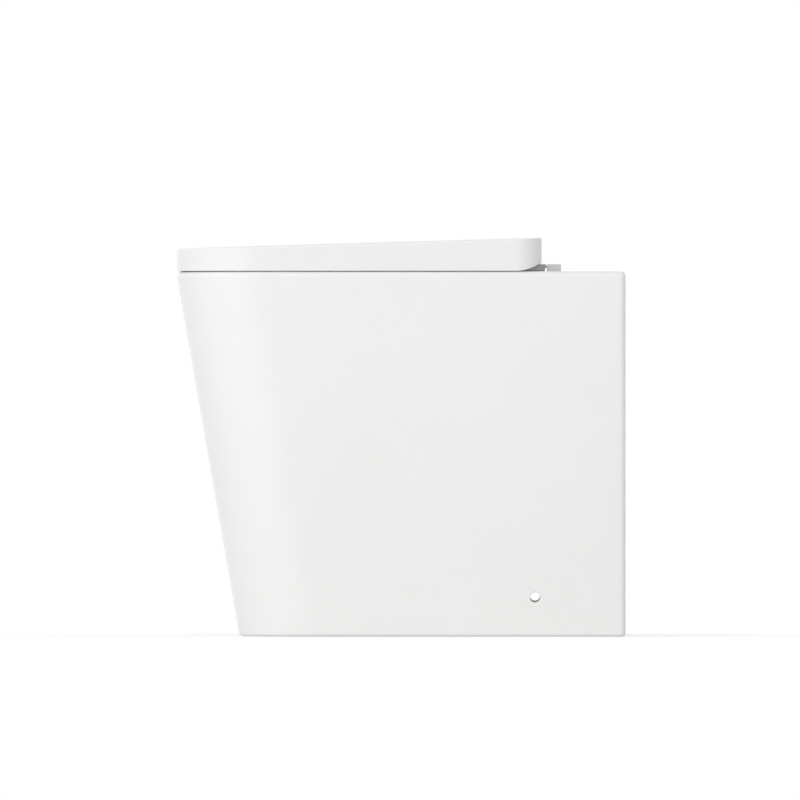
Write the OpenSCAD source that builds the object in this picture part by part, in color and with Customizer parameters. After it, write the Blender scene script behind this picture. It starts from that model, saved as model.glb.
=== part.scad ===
/* [Pan] */
// Depth of the pan, from its front to the wall
pan_length = 492; // [410:1:600]
// Width of the pan
pan_width = 360; // [300:1:440]
// Height of the rim above the floor
pan_height = 400; // [360:1:480]
// Lean of the front, in degrees from upright
front_lean = 9.9; // [4:0.1:12]
// Radius of the front corners at the rim, seen from above
corner_r_top = 95; // [75:1:115]
// Radius of the front corners at the floor
corner_r_base = 88; // [70:1:110]
// Radius of the edge round the rim
rim_edge_r = 6; // [4:0.5:8]
// Radius of the top edge at the wall
wall_edge_r = 5.5; // [4:0.5:7]
// Radius of the upright edges at the wall
back_corner_r = 6; // [5:0.5:9]
// Radius of the edge at the floor
floor_edge_r = 3.5; // [2:0.5:5]
// Thickness of the skirt
skirt_wall = 12; // [9:0.5:15]
// Thickness of the deck under the hinges
deck_thickness = 18; // [14:0.5:22]

/* [Bowl] */
// Rim in front of the bowl
rim_front = 54; // [42:1:66]
// Rim on each side of the bowl
rim_side = 55; // [42:1:66]
// Distance from the bowl's rear edge to the wall
bowl_from_wall = 158; // [150:1:190]
// Radius of the opening's front corners
bowl_front_r = 98; // [70:1:118]
// Radius of the opening's rear corners
bowl_rear_r = 62; // [50:1:75]
// Thickness of the bowl
bowl_wall = 11; // [9:0.5:14]
// Distance from the middle of the sump to the wall
sump_from_wall = 251; // [247:1:262]
// Height of the middle of the sump
sump_height = 80; // [76:1:88]

/* [Trap and pipes] */
// Bore of the trap
trap_bore = 64; // [53:1:66]
// Thickness of the trap
trap_wall = 11; // [9:0.5:13]
// Distance from the trap's lowest bend to the wall
dip_from_wall = 180; // [176:1:184]
// Height of the trap's lowest bend
dip_height = 62; // [58:1:68]
// Distance from the trap's highest bend to the wall
crest_from_wall = 140; // [136:1:142]
// Height of the trap's highest bend
crest_height = 218; // [212:1:224]
// Outer diameter of the outlet spigot
outlet_d = 102; // [96:1:110]
// Bore of the outlet spigot
outlet_bore = 86; // [78:1:90]
// Height of the outlet's axis
outlet_height = 185; // [175:1:205]
// Length of the outlet spigot
outlet_length = 30; // [26:1:34]
// Depth of the wider bore in the outlet spigot
outlet_bore_depth = 18; // [12:1:22]
// Distance from the outlet's end to the wall
outlet_from_wall = 62; // [56:1:68]
// Bore of the flush inlet
inlet_bore = 55; // [46:1:60]
// Thickness of the inlet socket
inlet_wall = 10; // [8:0.5:12]
// Depth of the inlet socket
inlet_depth = 34; // [26:1:42]
// Distance from the rim down to the inlet's axis
inlet_drop = 65; // [62:1:78]
// Distance from the inlet's mouth to the wall
inlet_from_wall = 56; // [44:1:68]
// Diameter of the floor fixing holes in the skirt
side_hole_d = 11; // [8:0.5:14]
// Height of the floor fixing holes
side_hole_height = 43; // [35:1:52]
// Distance from the floor fixing holes to the wall
side_hole_from_wall = 99; // [80:1:118]

/* [Lid] */
// Distance from the lid's rear face to the wall
lid_from_wall = 91.7; // [84:0.1:110]
// How far the lid's front stays inside the pan's front
lid_front_inset = 0.3; // [0:0.1:1]
// How far the lid's sides stay inside the pan's sides
lid_side_inset = 1; // [0:0.1:3]
// Gap between the rim and the lid's lower edge
lid_gap = 0.4; // [0.3:0.1:1.6]
// Height of the lid at its front, from its lower edge
lid_front_height = 24.6; // [23:0.1:29]
// Height of the lid at its back, from its lower edge
lid_rear_height = 36.2; // [35:0.1:41]
// How far the middle of the lid's top stands proud of a straight line
lid_crown = 0.2; // [0.1:0.1:2]
// Thickness of the lid
lid_wall = 4.5; // [3.5:0.1:5.5]
// Radius of the lid's front corners
lid_front_r = 94; // [75:1:112]
// Radius of the lid's rear corners
lid_rear_r = 28; // [24:1:34]
// Radius of the lid's top edge at the front and sides
lid_edge_r = 3; // [2:0.5:6]
// Radius of the curve that lifts the lid's lower edge at the back
lid_lift_r = 46.5; // [34:0.5:70]
// How far that curve has lifted the edge where it reaches the lid's rear face
lid_lift = 9.9; // [9:0.1:10.4]

/* [Seat] */
// Gap between the rim and the underside of the seat
seat_gap = 3.4; // [2.8:0.1:4]
// Play between the seat and the inside of the lid
seat_play = 2; // [1.6:0.1:2.6]
// Gap between the top of the seat and the inside of the lid
seat_lid_gap = 3.4; // [2.8:0.1:4]
// Gap between the seat's rear edge and the hinge foot
seat_foot_gap = 1; // [0.6:0.1:2]
// Width of the seat beside its opening
seat_side_width = 58; // [48:1:66]
// Length of the seat in front of its opening
seat_front_width = 60; // [48:1:70]
// Distance from the opening's rear edge to the seat's rear edge
seat_rear_width = 50; // [42:1:58]
// Thickness of the seat's skin over its hollow underside
seat_skin = 8; // [6:0.5:9.5]
// Diameter of the buffers
buffer_d = 20; // [16:1:24]

/* [Hinges] */
// Distance between the two hinges
hinge_spacing = 155; // [130:1:186]
// Height of the hinge axis above the rim
axis_height = 21; // [20:0.1:22]
// Distance from the hinge axis to the lid's rear face
axis_inset = 10.8; // [10.2:0.1:11.6]
// Width of a hinge body
hinge_width = 30; // [28:0.5:34]
// Outer diameter of the hinge barrel and lugs
barrel_d = 13; // [12.4:0.1:13.6]
// Width of a hinge lug
lug_width = 12; // [10:0.5:14]
// Gap between a lug and the hinge body
lug_gap = 0.5; // [0.4:0.1:0.8]
// Height of the hinge foot and slider above the rim
foot_height = 8; // [7.8:0.1:8.2]
// Length of the hinge foot, in front of the axis
foot_front = 16; // [15.6:0.1:16.4]
// Length of the hinge foot, behind the axis
foot_rear = 15.9; // [15.3:0.1:16.1]
// How far the foot's rear face slants forward at its bottom
foot_rear_slant = 1.7; // [0.5:0.1:2]
// Thickness of the gasket under the hinge
gasket_thickness = 0.8; // [0.6:0.1:1]
// Diameter of the hinge shafts and pins
shaft_d = 6; // [5:0.1:6.4]
// Outer diameter of the damper housings
damper_d = 10; // [9:0.1:10.4]
// Running clearance of shafts and pins, on the radius
running_clearance = 0.05; // [0.03:0.01:0.08]

/* [Release sliders] */
// Length of the slider block
slider_length = 15.2; // [13:0.1:18.8]
// Gap between the hinge foot and the slider block
slider_gap = 1; // [0.6:0.1:1.2]
// Travel of the slider
slider_travel = 4; // [3.6:0.1:4.2]
// Height of the tongue's underside above the rim
tongue_height = 4.6; // [4.4:0.1:4.8]
// Width of the slider's tongue
tongue_width = 17; // [16:0.5:20]
// Thickness of the slider's tongue
tongue_thickness = 1.4; // [1.2:0.1:1.6]

/* [Posts] */
// Distance from the post to the hinge axis
post_set = 2; // [1:0.1:3]
// Height of the post above the rim
post_height = 11; // [10.4:0.1:11.2]
// Diameter of the post's head
post_head_d = 9; // [8:0.1:9.4]
// Diameter of the groove in the post's head
post_groove_d = 6; // [5:0.1:6.4]
// Diameter of the post's flange
post_flange_d = 18; // [16:0.5:20]
// Thickness of the post's flange
flange_thickness = 1.2; // [1:0.1:1.4]
// Diameter of the post's threaded stem
stem_d = 8; // [6:0.5:8]
// Length of the stem below the rim
stem_length = 62; // [54:1:74]
// Diameter of the holes in the deck
post_hole_d = 14; // [12:0.5:16]

/* [Hidden] */
$fn = 64;

ceramic_white = "white";
seat_white = "whitesmoke";
chrome = "silver";
rubber_grey = "dimgray";
nylon_white = "gainsboro";
brass = "goldenrod";

left = -1;
right = 1;
slack = 1;              // how far a cut runs past the face that it opens
arc_steps = 12;         // straight steps in each rounded corner of an outline
crown_steps = 4;        // straight steps along each side that follows the lid's crown

// places along the depth: the front is towards -Y and the wall towards +Y
wall_y = pan_length / 2;
pan_front_y = -pan_length / 2;
pan_half = pan_width / 2;

bowl_front_y = pan_front_y + rim_front;
bowl_rear_y = wall_y - bowl_from_wall;
bowl_half = pan_half - rim_side;
sump_y = wall_y - sump_from_wall;
sump_r = trap_bore / 2;
bowl_foot_z = sump_height - sump_r / 4;     // the bowl's lowest ring lies inside the sump's ball

lid_front_y = pan_front_y + lid_front_inset;
lid_rear_y = wall_y - lid_from_wall;
lid_half = pan_half - lid_side_inset;
lid_bottom = pan_height + lid_gap;
lid_length = lid_rear_y - lid_front_y;

axis_y = lid_rear_y - axis_inset;
axis_z = pan_height + axis_height;
barrel_r = barrel_d / 2;

seat_bottom = pan_height + seat_gap;
seat_half = lid_half - lid_wall - seat_play;
seat_front_y = lid_front_y + lid_wall + seat_play;
seat_rear_y = axis_y - foot_front - seat_foot_gap;
opening_front_y = seat_front_y + seat_front_width;
opening_rear_y = seat_rear_y - seat_rear_width;
opening_half = seat_half - seat_side_width;
opening_front_r = 0.86 * opening_half;
opening_rear_r = 0.7 * opening_half;

foot_bottom = pan_height + gasket_thickness + running_clearance;
foot_top = pan_height + foot_height;
foot_front_y = axis_y - foot_front;
foot_rear_y = axis_y + foot_rear;
foot_base_rear_y = foot_rear_y - foot_rear_slant;
post_y = axis_y - post_set;
post_top = pan_height + post_height;
tongue_bottom = pan_height + tongue_height;
tongue_top = tongue_bottom + tongue_thickness;
tongue_play = 0.2;      // clearance round the tongue, the post's flange and the spring
post_play = 0.3;        // clearance round the post's head, and below the slider
post_chamfer = 1;       // chamfer round the top of the post
tongue_lip = 2.1;       // what the tongue has in front of its keyhole
slider_front_y = foot_rear_y + slider_gap;
slider_rear_y = slider_front_y + slider_length;
keyhole_y = post_y - slider_travel;
tongue_front_y = keyhole_y - post_head_d / 2 - tongue_lip;

// latch spring: it lies in a pocket behind the post, in a window of the tongue
spring_r = 1.5;
spring_wire_r = 0.22;
spring_turns = 5;
spring_steps = 8;
spring_sides = 6;
spring_front_y = post_y + 6;
spring_rear_y = spring_front_y + 7;
spring_z = (tongue_bottom + tongue_top) / 2;
peg_length = 1.5;
window_half = spring_r + 2 * post_play;
window_rear_y = spring_rear_y + peg_length + running_clearance;

// dampers
damper_length = 20.5;
damper_skin = 1;
damper_floor = 2;
damper_cap_length = 3;
seal_r = 0.45;
rotor_length = 10;
flat_thickness = 0.75 * shaft_d;
bush_length = hinge_width - damper_length - 0.5;

// posts
sleeve_play = 0.2;
sleeve_length = deck_thickness + 10;
sleeve_bottom = pan_height - sleeve_length - sleeve_play;
nut_length = 12;

// trap: its centre line from the sump, under the bowl's rear wall, over the weir and out to the back
outlet_end_y = wall_y - outlet_from_wall;
outlet_start_y = outlet_end_y - outlet_length;
outlet_bend_y = outlet_start_y - outlet_d / 12;
trap_path = [
    [sump_y, sump_height],
    [wall_y - dip_from_wall, dip_height],
    [wall_y - crest_from_wall, crest_height],
    [outlet_bend_y, outlet_height],
    [outlet_end_y, outlet_height]
];
inlet_mouth_y = wall_y - inlet_from_wall;
inlet_z = pan_height - inlet_drop;
flush_way_r = 0.36 * inlet_bore;

function mix(a, b, t) = a + (b - a) * t;

function arc(cx, cy, r, start) = [
    for (i = [0 : arc_steps])
        [cx + r * cos(start + 90 * i / arc_steps), cy + r * sin(start + 90 * i / arc_steps)]
];

// Points between the ends of a straight side
function side_points(x, from, to, steps) = [for (i = [1 : 1 : steps - 1]) [x, mix(from, to, i / steps)]];

// Outline seen from above, anticlockwise, with its own radius at the front and at the back
function plan(front, back, half, front_r, back_r, side_steps = 1) = let (
    b = min(back_r, 0.98 * half, 0.49 * (back - front)),
    f = min(front_r, 0.98 * half, 0.98 * (back - front) - b)
) concat(
    arc(half - f, front + f, f, -90),
    side_points(half, front + f, back - b, side_steps),
    arc(half - b, back - b, b, 0),
    arc(-half + b, back - b, b, 90),
    side_points(-half, back - b, front + f, side_steps),
    arc(-half + f, front + f, f, 180)
);

function level(outline, z) = [for (p = outline) [p[0], p[1], z]];

// How far an edge of radius r, rounded up to height top, has drawn in at height z
function drawn_in(z, r, top) = let (up = max(0, z - top + r)) r - sqrt(max(0, r ^ 2 - up ^ 2));

// Solid through a list of level or sloping rings, from the lowest to the highest
module loft(rings) {
    n = len(rings[0]);
    last = (len(rings) - 1) * n;
    polyhedron(
        points = [for (ring = rings) each ring],
        faces = concat(
            [[for (i = [0 : n - 1]) i]],
            [for (k = [0 : len(rings) - 2], i = [0 : n - 1])
                [k * n + i, (k + 1) * n + i, (k + 1) * n + (i + 1) % n]],
            [for (k = [0 : len(rings) - 2], i = [0 : n - 1])
                [k * n + i, (k + 1) * n + (i + 1) % n, k * n + (i + 1) % n]],
            [[for (i = [n - 1 : -1 : 0]) last + i]]
        )
    );
}

// Cylinder along X through [y, z], from x0 to x1
module shaft(x0, x1, r, y = axis_y, z = axis_z) {
    translate([min(x0, x1), y, z]) rotate([0, 90, 0]) cylinder(r = r, h = abs(x1 - x0));
}

// Cylinder along Y at height z, from y0 to y1
module tube(y0, y1, r, z) {
    translate([0, y1, z]) rotate([90, 0, 0]) cylinder(r = r, h = y1 - y0);
}

// Round run along a path of [y, z] points, with a ball a little larger at each bend
module run(path, r) {
    for (i = [0 : len(path) - 2]) {
        step = path[i + 1] - path[i];
        translate([0, path[i][0], path[i][1]])
            rotate([atan2(-step[0], step[1]), 0, 0])
                cylinder(r = r, h = norm(step));
    }
    for (p = path) translate([0, p[0], p[1]]) sphere(r = 1.01 * r);
}

// ---- pan ----

lean_slope = tan(front_lean);
rim_arc_z = pan_height - rim_edge_r;
lean_top_z = rim_arc_z - rim_edge_r * sin(front_lean);
lean_top_y = pan_front_y + rim_edge_r * (1 - cos(front_lean));

function front_at(z) = z < lean_top_z
    ? lean_top_y + (lean_top_z - z) * lean_slope
    : pan_front_y + rim_edge_r - sqrt(max(0, rim_edge_r ^ 2 - (z - rim_arc_z) ^ 2));

function corner_at(z) = mix(corner_r_base, corner_r_top, z / pan_height);

function skin_ring(z) = let (
    foot_in = drawn_in(floor_edge_r - z, floor_edge_r, floor_edge_r),
    side_in = foot_in + drawn_in(z, rim_edge_r, pan_height),
    back_in = foot_in + drawn_in(z, wall_edge_r, pan_height)
) level(plan(
    front_at(z) + foot_in, wall_y - back_in, pan_half - side_in,
    corner_at(z) - side_in, max(0.8, back_corner_r - side_in)
), z);

skin_heights = concat(
    [for (a = [0 : 30 : 90]) floor_edge_r * (1 - cos(a))],
    [pan_height / 2, lean_top_z],
    [for (a = [0 : 15 : 90]) rim_arc_z + rim_edge_r * sin(a)]
);

function hollow_ring(z) = level(plan(
    front_at(max(z, 0)) + skirt_wall, wall_y + 2 * slack, pan_half - skirt_wall,
    corner_at(z) - skirt_wall, 1
), z);

// how far down the bowl each ring lies, and how much of the way out from the sump it still reaches
bowl_steps = [
    [1, 0], [0.93, 0.09], [0.82, 0.22], [0.68, 0.43],
    [0.52, 0.66], [0.36, 0.84], [0.2, 0.94], [0, 1]
];

function bowl_ring(step, out) = let (
    f = step[1],
    sump_out = 0.98 * (sump_r + out)
) level(plan(
    mix(sump_y - sump_r, bowl_front_y, f) - out,
    mix(sump_y + sump_r, bowl_rear_y, f) + out,
    mix(sump_r, bowl_half, f) + out,
    mix(sump_out, bowl_front_r + out, f),
    mix(sump_out, bowl_rear_r + out, f)
), mix(pan_height, bowl_foot_z, step[0]));

bowl_inner_rings = concat(
    [for (s = bowl_steps) bowl_ring(s, 0)],
    [[for (p = bowl_ring([0, 1], 0)) p + [0, 0, slack]]]
);

bowl_outer_rings = concat(
    [for (s = bowl_steps) if (s[0] > 0) bowl_ring(s, bowl_wall)],
    [[for (p = bowl_ring([0, 1], bowl_wall)) p - [0, 0, rim_edge_r]]]
);

module pan_waterways() {
    run(trap_path, trap_bore / 2);
    tube(outlet_end_y - outlet_bore_depth, outlet_end_y + slack, outlet_bore / 2, outlet_height);
    tube(bowl_rear_y - 30, inlet_mouth_y, flush_way_r, inlet_z);
    tube(inlet_mouth_y - inlet_depth, inlet_mouth_y + slack, inlet_bore / 2, inlet_z);
}

module pan_pipes() {
    difference() {
        run(trap_path, trap_bore / 2 + trap_wall);
        translate([-outlet_d, outlet_end_y, outlet_height - outlet_d]) cube(2 * outlet_d);
    }
    tube(outlet_start_y, outlet_end_y, outlet_d / 2, outlet_height);
    tube(bowl_rear_y, inlet_mouth_y, inlet_bore / 2 + inlet_wall, inlet_z);
}

module pan() {
    color(ceramic_white) difference() {
        union() {
            difference() {
                loft([for (z = skin_heights) skin_ring(z)]);
                loft([hollow_ring(-slack), hollow_ring(pan_height - deck_thickness)]);
            }
            loft(bowl_outer_rings);
            pan_pipes();
        }
        loft(bowl_inner_rings);
        pan_waterways();
        for (side = [left, right]) {
            translate([side * hinge_spacing / 2, post_y, pan_height - deck_thickness - slack])
                cylinder(d = post_hole_d, h = deck_thickness + 2 * slack);
        }
        shaft(
            -pan_half - slack, pan_half + slack, side_hole_d / 2,
            wall_y - side_hole_from_wall, side_hole_height
        );
    }
}

// ---- posts that hold the hinges on the deck ----

module at_post(side, z) {
    translate([side * hinge_spacing / 2, post_y, z]) children();
}

module hinge_gasket(side) {
    color(rubber_grey) difference() {
        translate([side * hinge_spacing / 2 - hinge_width / 2, foot_front_y, pan_height])
            cube([hinge_width, foot_base_rear_y - foot_front_y, gasket_thickness]);
        at_post(side, pan_height - slack) cylinder(d = post_hole_d, h = gasket_thickness + 2 * slack);
    }
}

module hinge_post(side) {
    color(chrome) at_post(side, 0) difference() {
        union() {
            translate([0, 0, pan_height - stem_length])
                cylinder(d = stem_d, h = stem_length + gasket_thickness + flange_thickness);
            translate([0, 0, pan_height + gasket_thickness])
                cylinder(d = post_flange_d, h = flange_thickness);
            translate([0, 0, pan_height + gasket_thickness])
                cylinder(d = post_head_d, h = post_height - gasket_thickness - post_chamfer);
            translate([0, 0, post_top - post_chamfer])
                cylinder(d1 = post_head_d, d2 = post_head_d - 2 * post_chamfer, h = post_chamfer);
        }
        translate([0, 0, tongue_bottom - tongue_play]) difference() {
            cylinder(d = post_head_d + 2, h = tongue_thickness + 2 * tongue_play);
            cylinder(d = post_groove_d, h = tongue_thickness + 2 * tongue_play);
        }
    }
}

module fixing_sleeve(side) {
    color(rubber_grey) at_post(side, sleeve_bottom) difference() {
        cylinder(d = post_hole_d - 2 * sleeve_play, h = sleeve_length);
        translate([0, 0, -slack]) cylinder(d = stem_d, h = sleeve_length + 2 * slack);
    }
}

module cone_nut(side) {
    color(brass) at_post(side, sleeve_bottom - nut_length) difference() {
        union() {
            cylinder(d = post_hole_d - 2 * sleeve_play, h = 0.6 * nut_length);
            translate([0, 0, 0.6 * nut_length])
                cylinder(d1 = post_hole_d - 2 * sleeve_play, d2 = stem_d + 2, h = 0.4 * nut_length);
        }
        translate([0, 0, -slack]) cylinder(d = stem_d, h = nut_length + 2 * slack);
    }
}

// ---- hinges ----

// Side profile drawn in [y, z], pulled out along X between x0 and x1
module profile(x0, x1) {
    translate([min(x0, x1), 0, 0]) rotate([90, 0, 90]) linear_extrude(abs(x1 - x0)) children();
}

module hinge_profile() {
    neck_front = axis_y - 0.7 * foot_front;
    neck_rear = axis_y + 0.92 * barrel_r;
    polygon([
        [foot_front_y, foot_bottom], [foot_base_rear_y, foot_bottom],
        [foot_rear_y, foot_top], [foot_front_y, foot_top]
    ]);
    polygon([
        [neck_front, foot_top - slack], [neck_rear, foot_top - slack],
        [neck_rear, foot_top + barrel_r / 2], [axis_y + 0.9 * barrel_r, axis_z - slack],
        [axis_y - 0.9 * barrel_r, axis_z - slack],
        [neck_front, foot_top + 0.6 * barrel_r]
    ]);
    translate([axis_y, axis_z]) circle(r = barrel_r);
}

module hinge_body(side) {
    centre = side * hinge_spacing / 2;
    color(chrome) difference() {
        profile(centre - hinge_width / 2, centre + hinge_width / 2) hinge_profile();
        shaft(centre - hinge_width, centre + hinge_width, damper_d / 2);
        at_post(side, foot_bottom - slack)
            cylinder(d = post_flange_d + 2 * tongue_play, h = flange_thickness + tongue_play + slack);
        at_post(side, foot_bottom - slack)
            cylinder(
                d = post_head_d + 2 * running_clearance,
                h = post_top + post_play - foot_bottom + slack
            );
        difference() {
            translate([
                centre - tongue_width / 2 - tongue_play,
                tongue_front_y - 2 * tongue_play,
                tongue_bottom - tongue_play
            ]) cube([
                tongue_width + 2 * tongue_play,
                3 * foot_front,
                tongue_thickness + 2 * tongue_play
            ]);
            translate([centre - window_half + post_play, spring_rear_y, foot_bottom])
                cube([2 * (window_half - post_play), peg_length, foot_height]);
        }
        translate([centre, spring_rear_y, spring_z]) rotate([90, 0, 0])
            cylinder(r = spring_r + tongue_play, h = spring_rear_y - spring_front_y);
    }
}

module release_slider(side) {
    centre = side * hinge_spacing / 2;
    cut_height = foot_height + slack;
    neck_width = post_groove_d + 2 * tongue_play;
    color("lightgray") difference() {
        union() {
            translate([centre - hinge_width / 2, slider_front_y, pan_height + post_play])
                cube([hinge_width, slider_length, foot_height - post_play]);
            translate([centre - tongue_width / 2, tongue_front_y, tongue_bottom])
                cube([tongue_width, slider_front_y - tongue_front_y + slack, tongue_thickness]);
        }
        translate([centre, keyhole_y, pan_height])
            cylinder(d = post_head_d + 2 * post_play, h = cut_height);
        translate([centre, post_y, pan_height]) cylinder(d = neck_width, h = cut_height);
        translate([centre - neck_width / 2, keyhole_y, pan_height])
            cube([neck_width, post_y - keyhole_y, cut_height]);
        translate([centre - window_half, spring_front_y, pan_height])
            cube([2 * window_half, window_rear_y - spring_front_y, cut_height]);
    }
}

// Coil spring along Y: one tube that winds round, its sections standing along the spring's radius
spring_length = spring_rear_y - spring_front_y - 2 * spring_wire_r;

function spring_point(k) = let (a = 360 * k / spring_steps, r = spring_r - spring_wire_r)
    [r * cos(a), spring_wire_r + spring_length * k / (spring_turns * spring_steps), r * sin(a)];

module latch_spring(side) {
    rings = spring_turns * spring_steps;
    wire = [for (k = [0 : rings]) let (a = 360 * k / spring_steps, centre = spring_point(k)) [
        for (j = [0 : spring_sides - 1]) let (b = 360 * j / spring_sides)
            centre + spring_wire_r * [cos(b) * cos(a), sin(b), cos(b) * sin(a)]
    ]];
    gaps = [for (k = [0 : rings - spring_steps]) norm(spring_point(k + spring_steps) - spring_point(k))];
    echo(least_gap_between_turns = min(gaps) - 2 * spring_wire_r);
    color("gray") translate([side * hinge_spacing / 2, spring_front_y, spring_z]) loft(wire);
}

// Both dampers open towards +X: mouth is the X of the open end
module damper_housing(mouth) {
    color(nylon_white) difference() {
        shaft(mouth - damper_length, mouth, damper_d / 2);
        shaft(mouth - damper_length + damper_floor, mouth + slack, damper_d / 2 - damper_skin);
    }
}

module damper_cap(mouth) {
    color(nylon_white) difference() {
        shaft(mouth - damper_cap_length, mouth, damper_d / 2 - damper_skin);
        shaft(mouth - damper_cap_length - slack, mouth + slack, shaft_d / 2 + running_clearance);
    }
}

module damper_seal(mouth) {
    seal_middle = (damper_d / 2 - damper_skin + shaft_d / 2 + running_clearance) / 2;
    color(rubber_grey) translate([mouth - damper_cap_length - seal_r, axis_y, axis_z]) rotate([0, 90, 0])
        rotate_extrude() translate([seal_middle, 0]) circle(r = seal_r);
}

// Rotor and round shaft inside the damper, then two flats that turn with the lug
module damper_shaft(mouth) {
    rotor_end = mouth - damper_cap_length - 2 * seal_r - 0.5;
    color(chrome) {
        shaft(rotor_end, mouth + lug_gap, shaft_d / 2);
        shaft(rotor_end - rotor_length, rotor_end, damper_d / 2 - damper_skin - 2 * running_clearance);
        flats(mouth, mouth + lug_gap + lug_width);
    }
}

// The shape of a damper shaft's end, and of the hole that it fits
module flats(x0, x1) {
    intersection() {
        shaft(x0, x1, shaft_d / 2);
        translate([min(x0, x1), axis_y - shaft_d, axis_z - flat_thickness / 2])
            cube([abs(x1 - x0), 2 * shaft_d, flat_thickness]);
    }
}

module bush(x0, x1) {
    color(nylon_white) difference() {
        shaft(x0, x1, damper_d / 2);
        shaft(x0 - slack, x1 + slack, shaft_d / 2 + running_clearance);
    }
}

module pin(x0, x1) {
    color(chrome) shaft(x0, x1, shaft_d / 2);
}

// edges of a hinge body and its lugs, measured outwards from the middle of the toilet
body_inner = hinge_spacing / 2 - hinge_width / 2;
body_outer = hinge_spacing / 2 + hinge_width / 2;
seat_lug_outer = body_inner - lug_gap;
seat_lug_inner = seat_lug_outer - lug_width;
lid_lug_inner = body_outer + lug_gap;
lid_lug_outer = lid_lug_inner + lug_width;

// ---- lid ----

function lid_top_at(y) = let (t = (y - lid_front_y) / lid_length)
    lid_bottom + mix(lid_front_height, lid_rear_height, t) + 4 * lid_crown * t * (1 - t);

// Ring of the lid's outline: drawn in at the front and sides, and at the rear, and lying depth below
// the top
function lid_top_ring(inset, rear_inset, depth) = let (
    outline = plan(
        lid_front_y + inset, lid_rear_y - rear_inset, lid_half - inset,
        lid_front_r - inset, max(2, lid_rear_r - inset), crown_steps
    )
) [for (p = outline) [p[0], p[1], lid_top_at(p[1]) - depth]];

function lid_level_ring(inset, z) = [for (p = lid_top_ring(inset, inset, 0)) [p[0], p[1], z]];

lid_outer_rings = concat(
    [lid_level_ring(0, lid_bottom)],
    [for (a = [0 : 22.5 : 90]) let (inset = lid_edge_r * (1 - cos(a)))
        lid_top_ring(inset, inset / 2, lid_edge_r * (1 - sin(a)))],
    [for (inset = [lid_front_r / 2, lid_front_r - 4]) lid_top_ring(inset, inset, 0)]
);

lid_inner_rings = concat(
    [lid_level_ring(lid_wall, lid_bottom - slack)],
    [lid_top_ring(lid_wall, lid_wall, lid_wall + 2)],
    [for (inset = [lid_wall + 2, lid_front_r / 2, lid_front_r - 4]) lid_top_ring(inset, inset, lid_wall)]
);

lift_length = sqrt(lid_lift_r ^ 2 - (lid_lift_r - lid_lift) ^ 2);
lift_start_y = lid_rear_y - lift_length;
lift_centre_z = lid_bottom + lid_lift_r;
notch_top = axis_z + barrel_r + 2;
notch_inner = seat_lug_inner - slack;
notch_outer = lid_lug_inner;

module lid_shell() {
    color(seat_white) difference() {
        union() {
            difference() {
                loft(lid_outer_rings);
                loft(lid_inner_rings);
                for (side = [left, right]) {
                    translate([side > 0 ? notch_inner : -notch_outer, axis_y + 1, lid_bottom - slack])
                        cube([notch_outer - notch_inner, 2 * axis_inset, notch_top - lid_bottom + slack]);
                }
            }
            for (side = [left, right]) {
                profile(side * lid_lug_inner, side * lid_lug_outer) {
                    translate([axis_y, axis_z]) circle(r = barrel_r);
                    translate([axis_y - barrel_r, axis_z]) square([
                        barrel_r + axis_inset - lid_wall + 1,
                        lid_top_at(axis_y) - lid_wall / 2 - axis_z
                    ]);
                }
            }
        }
        difference() {
            translate([-lid_half - slack, lift_start_y, lid_bottom - slack])
                cube([2 * (lid_half + slack), lift_length + slack, lid_lift + 2 * slack]);
            shaft(-lid_half - 2 * slack, lid_half + 2 * slack, lid_lift_r, lift_start_y, lift_centre_z);
        }
        shaft(left * lid_lug_inner + slack, left * lid_lug_outer - slack, shaft_d / 2);
        flats(lid_lug_inner - slack, lid_lug_outer + slack);
    }
}

// ---- seat ----

function seat_top_at(y) = lid_top_at(y) - lid_wall - seat_lid_gap;

function seat_ring_at(inset, depth) = let (
    corner_in = lid_wall + seat_play + inset,
    outline = plan(
        seat_front_y + inset, seat_rear_y - inset, seat_half - inset,
        lid_front_r - corner_in, lid_rear_r - corner_in, crown_steps
    )
) [for (p = outline) [p[0], p[1], seat_top_at(p[1]) - depth]];

function seat_level_ring(inset, z) = [for (p = seat_ring_at(inset, 0)) [p[0], p[1], z]];

function opening_plan(out) = plan(
    opening_front_y - out, opening_rear_y + out, opening_half + out,
    opening_front_r + out, opening_rear_r + out
);

function opening_ring(out, depth) = [
    for (p = opening_plan(out)) [p[0], p[1], seat_top_at(p[1]) - depth]
];

seat_edge_r = 3;
seat_outer_rings = concat(
    [seat_level_ring(0, seat_bottom)],
    [for (a = [0 : 45 : 90]) seat_ring_at(seat_edge_r * (1 - cos(a)), seat_edge_r * (1 - sin(a)))]
);

// the opening's upper edge is rounded well back, where thighs rest on it
opening_flare = 14;
opening_drop = 9;
opening_rings = concat(
    [level(opening_plan(0), seat_bottom - slack)],
    [for (a = [0 : 22.5 : 90]) opening_ring(opening_flare * (1 - cos(a)), opening_drop * (1 - sin(a)))],
    [opening_ring(opening_flare + 1, -slack)]
);

buffer_front_y = seat_front_y + 78;
buffer_rear_y = seat_rear_y - 28;
buffer_places = [
    [left, buffer_front_y], [right, buffer_front_y],
    [left, buffer_rear_y], [right, buffer_rear_y]
];
buffer_x = seat_half - 26;
buffer_stem_d = 7;
buffer_stem_length = 6;
buffer_foot = 0.2;          // a buffer stops this far above the glaze
pad_d = 14;                 // diameter of the lid's buffers
pad_play = 0.05;            // and how far they stay below the lid's inside
rear_block = 24;            // the seat is solid this far from its rear edge, where the lugs join it
lug_root = 3;               // how far a lug reaches into that block

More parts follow.
